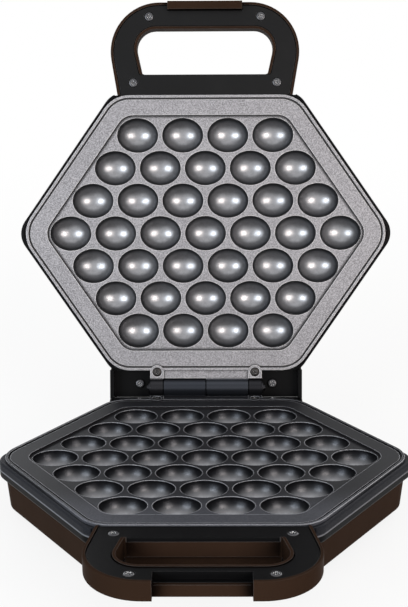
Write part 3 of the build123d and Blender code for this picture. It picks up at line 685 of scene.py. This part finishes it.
@dataclass(frozen=True)
class Moulding:
    """Moulded plastic with a fine skin and softly rounded edges; lengths are in mm."""

    finish: Finish
    low: Triple
    high: Triple
    roughness: float
    skin_height: float
    specular: float = 0.4
    edge: float = 0.35
    # Light edge colour, for rubbed plastic and for painted highlight.
    worn_and_lit_edge: Triple = (0.12, 0.1, 0.09)
    wear_and_highlight: float = 0.15
    corner_look: float = 1.2
    hollow_shade: float = 0.0
    hollow_shade_look: float = 26.0
    hollow_shade_tone: Triple = (0.001, 0.001, 0.001)
    smudge_roughness: float = 0.07
    skin_roughness: float = 0.06
    skin_strength: float = 0.22

    def build(self) -> bpy.types.Material:
        """Make the material.

        Returns:
            The material.
        """
        bench = Bench(self.finish.value)
        skin = bench.noise(PLASTIC_SKIN)
        smudge = bench.noise(PLASTIC_SMUDGE).ramp(*SMUDGE_MASK)
        colour = bench.colour(bench.noise(PLASTIC_CLOUD), self.low, self.high)
        # Painted shade: recesses and places under overhangs are darkened as if in shadow.
        if self.hollow_shade:
            painted_hollow_shade = bench.open_sky(self.hollow_shade_look * MM).ramp(*HOLLOW_SHADE_MASK)
            colour = bench.colour(painted_hollow_shade * self.hollow_shade, colour, self.hollow_shade_tone)
        # Edges are lightened both as rubbed plastic and as painted highlight, except in corners.
        open_ground = 1.0 - bench.hollow(self.corner_look * MM)
        worn_and_lit_edge = bench.edge_wear_and_highlight(self.edge * MM) * self.wear_and_highlight * open_ground
        colour = bench.colour(worn_and_lit_edge, colour, self.worn_and_lit_edge)
        roughness = self.roughness + smudge * self.smudge_roughness
        roughness = roughness + skin * self.skin_roughness - self.skin_roughness / 2
        soft = bench.soft_edge(self.edge * MM)
        normal = bench.bump(skin, self.skin_height * MM, soft, self.skin_strength)
        return bench.finish(
            {"Base Color": colour, "Roughness": roughness, "Normal": normal},
            {"Specular IOR Level": self.specular},
        )


@dataclass(frozen=True)
class LippedRing:
    """Black ring whose upper part carries the coated lip of the plate, with a painted highlight along
    the lip's lower edge; lengths are in mm.
    """

    finish: Finish
    half: HalfFrame
    lip: Triple = (0.022, 0.023, 0.028)
    lip_dark: Triple = (0.01, 0.011, 0.014)
    lip_end: Pair = (7.72, 7.48)
    rim_highlight_reach: Pair = (6.3, 7.2)
    worn_and_lit_edge: Triple = (0.4, 0.41, 0.45)
    rim_highlight_share: float = 0.35
    black: Triple = (0.0028, 0.0028, 0.003)
    roughness: float = 0.34
    lip_roughness: float = 0.12
    sand_roughness: float = 0.06
    sand_share: float = 0.4
    lip_height: float = 0.08
    soft_radius: float = 0.35
    lip_metallic: float = 0.08
    specular: float = 0.04

    def build(self) -> bpy.types.Material:
        """Make the material.

        Returns:
            The material.
        """
        bench = Bench(self.finish.value)
        drop = self.half.depth(bench, bench.place())
        lip = drop.span(self.lip_end)
        rim_highlight = lip * drop.span(self.rim_highlight_reach)
        sand = bench.noise(CASTING_SAND)
        coating = bench.colour(sand.ramp(*SPECKLE_MASK), self.lip_dark, self.lip)
        # Painted highlight: a light line along the lower edge of the coated lip.
        coating = bench.colour(rim_highlight * self.rim_highlight_share, coating, self.worn_and_lit_edge)
        colour = bench.colour(lip, self.black, coating)
        roughness = self.roughness + lip * self.lip_roughness + sand * self.sand_roughness
        height = sand * lip * self.sand_share + lip * (1.0 - self.sand_share)
        normal = bench.bump(height, self.lip_height * MM, bench.soft_edge(self.soft_radius * MM))
        metallic = lip * self.lip_metallic
        return bench.finish(
            {"Base Color": colour, "Roughness": roughness, "Normal": normal, "Metallic": metallic},
            {"Specular IOR Level": self.specular},
        )


@dataclass(frozen=True)
class Steel:
    """Bare or plated steel with turning marks; lengths are in mm."""

    finish: Finish
    colour: Triple
    dark: Triple
    roughness: float
    stretch: Triple = (1.0, 1.0, 1.0)
    wear_and_highlight: float = 0.4
    edge_mask_radius: float = 0.3
    # Edge colour, for rubbed metal and for painted glints.
    bright: Triple = (0.85, 0.85, 0.87)
    stain_share: float = 0.6
    mark_roughness: float = 0.15
    stain_roughness: float = 0.1
    mark_height: float = 0.02
    soft_radius: float = 0.2
    stain_dulling: float = 0.15

    def build(self) -> bpy.types.Material:
        """Make the material.

        Returns:
            The material.
        """
        bench = Bench(self.finish.value)
        marks = bench.noise(STEEL_MARKS, self.stretch)
        stain = bench.noise(STEEL_STAIN).ramp(*STAIN_MASK)
        mottle = stain * self.stain_share + marks * (1.0 - self.stain_share)
        colour = bench.colour(mottle, self.colour, self.dark)
        # Edges are lightened both as rubbed metal and as painted glints; on the screws they outline the
        # cross recesses.
        colour = bench.colour(bench.edge_wear_and_highlight(self.edge_mask_radius * MM) * self.wear_and_highlight, colour, self.bright)
        roughness = self.roughness + marks * self.mark_roughness + stain * self.stain_roughness
        normal = bench.bump(marks, self.mark_height * MM, bench.soft_edge(self.soft_radius * MM))
        metallic = 1.0 - stain * self.stain_dulling
        return bench.finish(
            {"Base Color": colour, "Roughness": roughness, "Normal": normal, "Metallic": metallic}, {}
        )


@dataclass(frozen=True)
class Lens:
    """Tinted clear plastic with fine ribs inside; lengths are in mm."""

    finish: Finish
    tint: Triple
    half: HalfFrame
    rib_width: float = 0.7
    rib_height: float = 0.1
    dark_share: float = 0.35
    roughness: float = 0.12
    rib_roughness: float = 0.05
    soft_radius: float = 0.2
    transmission: float = 0.35
    ior: float = 1.49

    def build(self) -> bpy.types.Material:
        """Make the material.

        Returns:
            The material.
        """
        bench = Bench(self.finish.value)
        across = bench.along(bench.place(), self.half.across)
        ribs = (across / (self.rib_width * MM)).zigzag(0.5) * 2.0
        dark = tuple(channel * self.dark_share for channel in self.tint)
        colour = bench.colour(ribs.held(), dark, self.tint)
        roughness = self.roughness + ribs * self.rib_roughness
        normal = bench.bump(ribs, self.rib_height * MM, bench.soft_edge(self.soft_radius * MM))
        return bench.finish(
            {"Base Color": colour, "Roughness": roughness, "Normal": normal},
            {"Transmission Weight": self.transmission, "IOR": self.ior},
        )


@dataclass
class Finishes:
    """All finishes of the appliance, built once."""

    geometry: Geometry
    made: dict[Finish, bpy.types.Material] = field(default_factory=dict)

    def coatings(self) -> list[CoatedCasting | LippedRing]:
        """Finishes of the plates, and of the ring that continues the lower one.

        Returns:
            The finishes.
        """
        lid, base, axis = self.geometry.lid, self.geometry.base, self.geometry.axis
        return [
            CoatedCasting(Finish.UPPER_COATING, lid, axis, (0.395, 0.387, 0.408), (0.115, 0.111, 0.121)),
            # Lower plate: painted shade towards the hinge, flats lifted so the front stays bright, and
            # light edges for rubbed coating and painted highlight on the beads.
            CoatedCasting(
                Finish.LOWER_COATING, base, axis, (0.075, 0.078, 0.092), (0.035, 0.037, 0.045),
                edge=(0.5, 0.51, 0.55), wear_and_highlight_share=0.85, specular=0.12, back_shade=0.8,
            ),
            LippedRing(Finish.LIPPED_RING, base),
        ]

    def mouldings(self) -> list[Moulding]:
        """Finishes of the plastic, rubber and ceramic pieces.

        Returns:
            The finishes.
        """
        black, soft_black = (0.0022, 0.0022, 0.0025), (0.0042, 0.0042, 0.0046)
        # Light edge colour of the black parts, for rubbed plastic and painted highlight.
        lit_worn_black = (0.12, 0.12, 0.125)
        return [
            # The shell gets painted shade in its recesses and under overhangs.
            Moulding(
                Finish.SHELL_BROWN, (0.021, 0.0116, 0.0074), (0.03, 0.0168, 0.011), 0.42, 0.015,
                specular=0.004, worn_and_lit_edge=(0.16, 0.15, 0.15), edge=0.5, wear_and_highlight=0.35, hollow_shade=0.9,
            ),
            Moulding(
                Finish.TRIM_BLACK, black, soft_black, 0.32, 0.006,
                specular=0.035, worn_and_lit_edge=lit_worn_black, wear_and_highlight=0.3,
            ),
            Moulding(
                Finish.GRIP_BLACK, (0.0026, 0.0026, 0.003), (0.0046, 0.0046, 0.005), 0.32, 0.006,
                specular=0.16, worn_and_lit_edge=lit_worn_black, wear_and_highlight=0.3,
            ),
            Moulding(Finish.COVER_BLACK, black, soft_black, 0.32, 0.006, specular=0.06, wear_and_highlight=0.0),
            Moulding(
                Finish.RUBBER_BLACK, (0.012, 0.012, 0.012), (0.02, 0.02, 0.02), 0.72, 0.05,
                specular=0.3, wear_and_highlight=0.3,
            ),
            Moulding(
                Finish.PHENOLIC, (0.42, 0.36, 0.27), (0.52, 0.45, 0.34), 0.6, 0.03,
                worn_and_lit_edge=(0.7, 0.6, 0.45),
            ),
            Moulding(
                Finish.CERAMIC_WHITE, (0.72, 0.7, 0.65), (0.8, 0.78, 0.72), 0.5, 0.03,
                worn_and_lit_edge=(0.85, 0.83, 0.8),
            ),
        ]

    def metals(self) -> list[Steel]:
        """Finishes of the steel pieces.

        Returns:
            The finishes.
        """
        return [
            Steel(Finish.PLATED_STEEL, (0.6, 0.61, 0.63), (0.35, 0.36, 0.38), 0.24),
            # Dark screw heads whose strongly lightened edges paint glints round the cross recesses.
            Steel(Finish.BLACK_OXIDE, (0.09, 0.09, 0.095), (0.035, 0.035, 0.04), 0.28, wear_and_highlight=0.9),
            Steel(Finish.DARK_SCREW, (0.05, 0.046, 0.045), (0.018, 0.017, 0.017), 0.36, wear_and_highlight=0.35),
            Steel(
                Finish.BLUED_STEEL, (0.035, 0.035, 0.04), (0.015, 0.015, 0.018), 0.34,
                stretch=(0.15, 1.0, 1.0), wear_and_highlight=0.1,
            ),
            Steel(Finish.HEATER_SHEATH, (0.3, 0.27, 0.25), (0.12, 0.1, 0.09), 0.4),
            Steel(
                Finish.SHEET_STEEL, (0.66, 0.67, 0.68), (0.5, 0.5, 0.52), 0.3,
                stretch=(0.1, 1.0, 1.0),
            ),
        ]

    def lenses(self) -> list[Lens]:
        """Finishes of the indicator lights.

        Returns:
            The finishes.
        """
        lid = self.geometry.lid
        return [
            Lens(Finish.RED_LENS, (0.62, 0.03, 0.02), lid),
            Lens(Finish.GREEN_LENS, (0.06, 0.42, 0.1), lid),
            Lens(Finish.LAMP_GLASS, (0.85, 0.8, 0.76), lid),
        ]

    def build(self) -> None:
        """Make every material."""
        for look in (*self.coatings(), *self.mouldings(), *self.metals(), *self.lenses()):
            self.made[look.finish] = look.build()
            log.info("finish %s", look.finish.value)

    def dress(self, obj: bpy.types.Object, finish: Finish) -> None:
        """Give an object one finish.

        Args:
            obj: The object.
            finish: The finish.
        """
        obj.data.materials.clear()
        obj.data.materials.append(self.made[finish])


def only(obj: bpy.types.Object) -> None:
    """Select one object alone and make it active.

    Args:
        obj: The object.
    """
    bpy.ops.object.select_all(action="DESELECT")
    obj.select_set(True)
    bpy.context.view_layer.objects.active = obj


@dataclass
class SubAssembly:
    """A group of CAD nodes that keep their shape and get a finish each; angles are in degrees."""

    finishes: Finishes
    smooth_angle: float = 28.0
    nodes: ClassVar[dict[str, Finish]] = {}

    def build(self) -> None:
        """Give every node of the group its finish and smooth its round faces."""
        for name, finish in self.nodes.items():
            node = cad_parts[name]
            self.finishes.dress(node, finish)
            only(node)
            bpy.ops.object.shade_smooth_by_angle(angle=math.radians(self.smooth_angle))
            log.info("%s: %s", name, finish.value)


@dataclass
class Housings(SubAssembly):
    """Moulded shells, with the trim rings and handle covers that close them."""

    nodes: ClassVar[dict[str, Finish]] = {
        "base_housing": Finish.SHELL_BROWN,
        "lid_housing": Finish.SHELL_BROWN,
        "base_trim_ring": Finish.LIPPED_RING,
        "lid_trim_ring": Finish.TRIM_BLACK,
        "base_handle_cover": Finish.TRIM_BLACK,
        "lid_handle_cover": Finish.GRIP_BLACK,
    }


@dataclass
class CookingPlates(SubAssembly):
    """Cast plates with their cups."""

    nodes: ClassVar[dict[str, Finish]] = {
        "lower_plate": Finish.LOWER_COATING,
        "upper_plate": Finish.UPPER_COATING,
    }


@dataclass
class Hinge(SubAssembly):
    """Hinge covers, pin and clips."""

    nodes: ClassVar[dict[str, Finish]] = {
        "base_hinge_cover": Finish.COVER_BLACK,
        "lid_hinge_cover": Finish.COVER_BLACK,
        "hinge_pin": Finish.BLUED_STEEL,
        "hinge_pin_clips": Finish.BLUED_STEEL,
    }


@dataclass
class Heating(SubAssembly):
    """Heating rods, reflectors and the parts that guard the temperature."""

    nodes: ClassVar[dict[str, Finish]] = {
        "lower_heating_element": Finish.HEATER_SHEATH,
        "upper_heating_element": Finish.HEATER_SHEATH,
        "lower_heat_reflector": Finish.SHEET_STEEL,
        "upper_heat_reflector": Finish.SHEET_STEEL,
        "lower_reflector_screws": Finish.PLATED_STEEL,
        "upper_reflector_screws": Finish.PLATED_STEEL,
        "thermostat": Finish.PHENOLIC,
        "thermostat_screws": Finish.PLATED_STEEL,
        "thermal_fuse": Finish.SHEET_STEEL,
        "fuse_clamp": Finish.SHEET_STEEL,
        "fuse_clamp_screws": Finish.PLATED_STEEL,
    }


@dataclass
class Mains(SubAssembly):
    """Terminal block, cord gland and the two lights."""

    nodes: ClassVar[dict[str, Finish]] = {
        "terminal_block": Finish.CERAMIC_WHITE,
        "terminal_block_screws": Finish.PLATED_STEEL,
        "cord_gland": Finish.RUBBER_BLACK,
        "power_lens": Finish.RED_LENS,
        "ready_lens": Finish.GREEN_LENS,
        "power_lamp": Finish.LAMP_GLASS,
        "ready_lamp": Finish.LAMP_GLASS,
    }


@dataclass
class Feet(SubAssembly):
    """Rubber feet."""

    nodes: ClassVar[dict[str, Finish]] = {"base_feet": Finish.RUBBER_BLACK}


@dataclass(frozen=True)
class ScrewGroup:
    """Like screws that stand for one CAD node.

    A spot is (u, v) on the half, and seat_drop is the drop of the seats of the heads. Lengths
    are in mm. The heads of a hanging group look down.
    """

    node: str
    body: Body
    spots: tuple[Pair, ...]
    seat_drop: float
    head_diameter: float = 6.0
    head_height: float = 1.6
    hanging: bool = False
    finish: Finish = Finish.BLACK_OXIDE


HANDLE_SPOTS = ((-45.5, 194.0), (45.5, 194.0), (-35.3, 235.5), (35.3, 235.5))
PLATE_SPOTS = ((-31.2, 10.2), (31.2, 10.2))
BASE_HINGE_SPOTS = ((-42.6, 5.4), (42.6, 5.4))
LID_HINGE_SPOTS = ((-42.6, 1.8), (42.6, 1.8))
FOOT_SPOTS = ((-48.0, 6.0), (48.0, 6.0), (-50.0, 163.0), (50.0, 163.0))

SCREW_GROUPS = (
    ScrewGroup("base_handle_screws", Body.BASE, HANDLE_SPOTS, 2.4),
    ScrewGroup("lid_handle_screws", Body.LID, HANDLE_SPOTS, 2.4),
    ScrewGroup("lower_plate_screws", Body.BASE, PLATE_SPOTS, 2.1, 5.8, finish=Finish.DARK_SCREW),
    ScrewGroup("upper_plate_screws", Body.LID, PLATE_SPOTS, 2.1, 5.8, finish=Finish.DARK_SCREW),
    ScrewGroup("base_hinge_cover_screws", Body.BASE, BASE_HINGE_SPOTS, 4.058),
    ScrewGroup("lid_hinge_cover_screws", Body.LID, LID_HINGE_SPOTS, 11.0),
    ScrewGroup("base_foot_screws", Body.BASE, FOOT_SPOTS, 32.8, hanging=True),
)


@dataclass
class Fasteners(SubAssembly):
    """Cross-recessed pan-head screws that show on the outside, modelled once for each group.

    Lengths are in mm and angles in degrees. dome_share, foot_share and pick_share are parts of
    the head's height, recess_share of its diameter, tip_share of the shank's radius and
    tip_start of its length.
    """

    smooth_angle: float = 32.0
    first_turn: float = 11.0
    turn_step: float = 37.0
    head_sides: int = 40
    dome_share: float = 0.6
    dome_steps: int = 5
    foot_share: float = 0.07
    pick_share: float = 0.01
    recess_share: float = 0.64
    recess_width: float = 1.0
    recess_depth: float = 1.15
    recess_taper: float = 0.5
    shank_sides: int = 24
    shank_diameter: float = 3.0
    shank_length: float = 7.0
    shank_overlap: float = 0.1
    tip_start: float = 0.9
    tip_share: float = 0.6
    tip_steps: int = 2

    def build(self) -> None:
        """Model and place every group."""
        for group in SCREW_GROUPS:
            self.group(group)

    def group(self, group: ScrewGroup) -> None:
        """Place copies of one screw and let them stand for a CAD node.

        Args:
            group: The group.
        """
        geometry = self.finishes.geometry
        half = geometry.base if group.body is Body.BASE else geometry.lid
        pattern = self.screw(group.head_diameter, group.head_height)
        copies = []
        for index, (u, v) in enumerate(group.spots):
            copy = pattern.copy()
            copy.data = pattern.data.copy()
            bpy.context.scene.collection.objects.link(copy)
            turn = Matrix.Rotation(math.radians(self.first_turn + self.turn_step * index), 4, "Z")
            if group.hanging:
                turn = Matrix.Rotation(math.pi, 4, "X") @ turn
            copy.matrix_world = half.matrix(u, v, group.seat_drop) @ turn
            copies.append(copy)
        bpy.data.objects.remove(pattern)
        only(copies[0])
        for copy in copies:
            copy.select_set(True)
        bpy.ops.object.join()
        piece = bpy.context.object
        bpy.ops.object.transform_apply(location=True, rotation=True, scale=True)
        piece.name = group.node + "_cross"
        self.finishes.dress(piece, group.finish)
        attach(piece, group.body.value)
        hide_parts(group.node)
        log.info("%s: %d screws", piece.name, len(copies))

    def screw(self, head_diameter: float, head_height: float) -> bpy.types.Object:
        """Model one screw, head up, with its seat at z = 0.

        Args:
            head_diameter: Diameter of the head in mm.
            head_height: Height of the head in mm.

        Returns:
            The screw.
        """
        radius, height = head_diameter / 2 * MM, head_height * MM
        head = self.cylinder(self.head_sides, radius, height, height / 2)
        bpy.ops.object.mode_set(mode="EDIT")
        self.pick_edges(head, lambda a, b: min(a.z, b.z) > height * (1.0 - self.pick_share))
        bpy.ops.mesh.bevel(
            offset=height * self.dome_share, segments=self.dome_steps, profile=0.5, affect="EDGES"
        )
        self.pick_edges(head, lambda a, b: max(a.z, b.z) < height * self.pick_share)
        bpy.ops.mesh.bevel(offset=height * self.foot_share, segments=1, affect="EDGES")
        bpy.ops.object.mode_set(mode="OBJECT")
        for angle in (0.0, 90.0):
            self.carve(head, self.blade(head_diameter, height, angle))
        shank = self.shank()
        only(head)
        shank.select_set(True)
        bpy.ops.object.join()
        bpy.ops.object.shade_smooth_by_angle(angle=math.radians(self.smooth_angle))
        return head

    def cylinder(self, sides: int, radius: float, depth: float, middle: float) -> bpy.types.Object:
        """Add one upright cylinder on the z axis and apply its place.

        Args:
            sides: Number of sides.
            radius: Radius in metres.
            depth: Height in metres.
            middle: Height of its middle in metres.

        Returns:
            The cylinder.
        """
        bpy.ops.object.select_all(action="DESELECT")
        bpy.ops.mesh.primitive_cylinder_add(
            vertices=sides, radius=radius, depth=depth, location=(0.0, 0.0, middle)
        )
        cylinder = bpy.context.object
        bpy.ops.object.transform_apply(location=True, rotation=True, scale=True)
        return cylinder

    def pick_edges(self, obj: bpy.types.Object, test: Callable[[Vector, Vector], bool]) -> None:
        """Select the edges whose two ends pass a test.

        Args:
            obj: The object, in edit mode.
            test: Function of the two ends.
        """
        bpy.ops.mesh.select_mode(type="EDGE")
        bpy.ops.mesh.select_all(action="DESELECT")
        shape = bmesh.from_edit_mesh(obj.data)
        for edge in shape.edges:
            edge.select_set(test(edge.verts[0].co, edge.verts[1].co))
        bmesh.update_edit_mesh(obj.data)

    def blade(self, head_diameter: float, height: float, angle: float) -> bpy.types.Object:
        """One tapered arm of the cross recess.

        Args:
            head_diameter: Diameter of the head in mm.
            height: Height of the head in metres.
            angle: Direction of the arm in degrees.

        Returns:
            The cutter.
        """
        reach, depth = head_diameter * self.recess_share * MM, self.recess_depth * MM
        bpy.ops.mesh.primitive_cube_add(size=1.0, location=(0.0, 0.0, 0.0))
        blade = bpy.context.object
        blade.scale = (reach, self.recess_width * MM, 2 * depth)
        blade.location = (0.0, 0.0, height)
        blade.rotation_euler = (0.0, 0.0, math.radians(angle))
        bpy.ops.object.transform_apply(location=True, rotation=True, scale=True)
        bpy.ops.object.mode_set(mode="EDIT")
        self.pick_edges(blade, lambda a, b: max(a.z, b.z) < height)
        taper = (self.recess_taper, self.recess_taper, 1.0)
        bpy.ops.transform.resize(value=taper, center_override=(0.0, 0.0, 0.0))
        bpy.ops.object.mode_set(mode="OBJECT")
        return blade

    def carve(self, head: bpy.types.Object, cutter: bpy.types.Object) -> None:
        """Cut one solid out of the head.

        Args:
            head: The head.
            cutter: The cutter, which is removed.
        """
        only(head)
        cut = head.modifiers.new("recess", "BOOLEAN")
        cut.operation, cut.solver, cut.object = "DIFFERENCE", "EXACT", cutter
        bpy.ops.object.modifier_apply(modifier=cut.name)
        bpy.data.objects.remove(cutter)

    def shank(self) -> bpy.types.Object:
        """Shank with a pointed tip, its top just inside the head.

        Returns:
            The shank.
        """
        radius, length = self.shank_diameter / 2 * MM, self.shank_length * MM
        shank = self.cylinder(self.shank_sides, radius, length, self.shank_overlap * MM - length / 2)
        bpy.ops.object.mode_set(mode="EDIT")
        self.pick_edges(shank, lambda a, b: max(a.z, b.z) < -length * self.tip_start)
        bpy.ops.mesh.bevel(offset=radius * self.tip_share, segments=self.tip_steps, affect="EDGES")
        bpy.ops.object.mode_set(mode="OBJECT")
        return shank


@dataclass(frozen=True)
class Lamp:
    """Soft lamp: angles in degrees from the front and the floor, lengths in metres, power in watts."""

    name: str
    azimuth: float
    elevation: float
    distance: float
    width: float
    height: float
    power: float
    colour: Triple


LAMPS = (
    Lamp("lamp_right", 34.0, 14.0, 1.5, 0.62, 0.6, 13.0, (1.0, 0.91, 0.84)),
    Lamp("lamp_left", -41.0, 14.0, 1.5, 0.7, 0.6, 14.5, (0.88, 0.95, 1.0)),
    Lamp("lamp_top", 0.0, 78.0, 1.6, 1.4, 1.0, 3.0, (1.0, 1.0, 1.0)),
    Lamp("lamp_back_right", 138.0, 32.0, 1.7, 0.9, 0.7, 9.0, (1.0, 0.98, 0.95)),
    Lamp("lamp_back_left", -150.0, 24.0, 1.7, 0.9, 0.7, 7.0, (0.96, 0.98, 1.0)),
)


@dataclass
class Studio:
    """Floor, lamps, world and camera.

    The camera's place and sensor are in mm and its angles in degrees. The floor's sizes, the
    fade, the clip and the target of the lamps are in metres.
    """

    camera_place: Triple = (7.6, -733.5, 354.1)
    pitch: float = 17.62
    yaw: float = 0.6
    roll: float = -0.34
    lens_px: float = 1365.0
    image_height: float = 607.0
    sensor: float = 36.0
    clip: Pair = (0.01, 50.0)
    ambient: float = 0.32
    floor_size: float = 14.0
    floor_gap: float = 0.0002
    floor_tone: float = 0.8
    floor_mottle: float = 0.02
    floor_roughness: float = 0.9
    floor_glow: float = 0.86
    fade: Pair = (0.25, 1.1)
    target: Triple = (0.0, 0.05, 0.12)

    def build(self) -> None:
        """Make the whole studio."""
        self.floor()
        self.world()
        for lamp in LAMPS:
            self.light(lamp)
        self.camera()

    def floor(self) -> None:
        """Pale floor that keeps the shadow and shows white to the camera."""
        bpy.ops.mesh.primitive_plane_add(size=self.floor_size, location=(0.0, 0.0, -self.floor_gap))
        floor = bpy.context.object
        floor.name = "floor"
        bench = Bench("floor_white")
        far = bench.vector("LENGTH", bench.place()).ramp(*self.fade)
        tone = bench.noise(FLOOR_TONE) * self.floor_mottle + self.floor_tone
        white = bench.node("ShaderNodeCombineColor", {}, {0: tone, 1: tone, 2: tone})
        matt = {"Base Color": white, "Roughness": self.floor_roughness}
        near = bench.node("ShaderNodeBsdfPrincipled", {}, matt, "BSDF")
        glow = bench.node("ShaderNodeEmission", {}, {"Color": WHITE, "Strength": 1.0})
        share = bench.seen() * (far * (1.0 - self.floor_glow) + self.floor_glow)
        bench.close(bench.node("ShaderNodeMixShader", {}, {"Fac": share.held(), 1: near, 2: glow}))
        floor.data.materials.append(bench.material)

    def world(self) -> None:
        """White world to the camera and to reflections, softer as a lamp."""
        world = bpy.data.worlds.new("studio_world")
        bpy.context.scene.world = world
        world.use_nodes = True
        bench = Bench.of(world.node_tree)
        strength = bench.seen() * (1.0 - self.ambient) + self.ambient
        back = bench.node("ShaderNodeBackground", {}, {"Color": WHITE, "Strength": strength})
        bench.node("ShaderNodeOutputWorld", {}, {"Surface": back})

    def light(self, lamp: Lamp) -> None:
        """Add one soft lamp that looks at the appliance.

        Args:
            lamp: The lamp.
        """
        data = bpy.data.lights.new(lamp.name, "AREA")
        data.shape = "RECTANGLE"
        data.size, data.size_y = lamp.width, lamp.height
        data.energy = lamp.power
        data.color = lamp.colour
        light = bpy.data.objects.new(lamp.name, data)
        bpy.context.scene.collection.objects.link(light)
        a, e = math.radians(lamp.azimuth), math.radians(lamp.elevation)
        back = Vector((math.sin(a) * math.cos(e), -math.cos(a) * math.cos(e), math.sin(e)))
        light.location = Vector(self.target) + back * lamp.distance
        light.rotation_euler = (-back).to_track_quat("-Z", "Y").to_euler()

    def camera(self) -> None:
        """Camera at the angle of the photograph."""
        data = bpy.data.cameras.new("photo_camera")
        data.sensor_fit = "AUTO"
        data.sensor_width = self.sensor
        data.lens = self.lens_px * self.sensor / self.image_height
        data.clip_start, data.clip_end = self.clip
        camera = bpy.data.objects.new("photo_camera", data)
        bpy.context.scene.collection.objects.link(camera)
        turn = (
            Euler((0.0, 0.0, math.radians(self.yaw))).to_matrix()
            @ Euler((math.radians(90.0 - self.pitch), 0.0, 0.0)).to_matrix()
            @ Euler((0.0, 0.0, math.radians(self.roll))).to_matrix()
        )
        camera.matrix_world = Matrix.Translation(Vector(self.camera_place) * MM) @ turn.to_4x4()
        bpy.context.scene.camera = camera
        bpy.context.scene.view_settings.view_transform = "Standard"


def main() -> None:
    """Build every class in order."""
    logging.basicConfig(level=logging.INFO, format="%(message)s")
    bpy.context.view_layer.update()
    geometry = Geometry()
    finishes = Finishes(geometry)
    finishes.build()
    for group in (Housings, CookingPlates, Hinge, Heating, Mains, Feet, Fasteners):
        group(finishes).build()
    Studio().build()


if __name__ == "__main__":
    main()
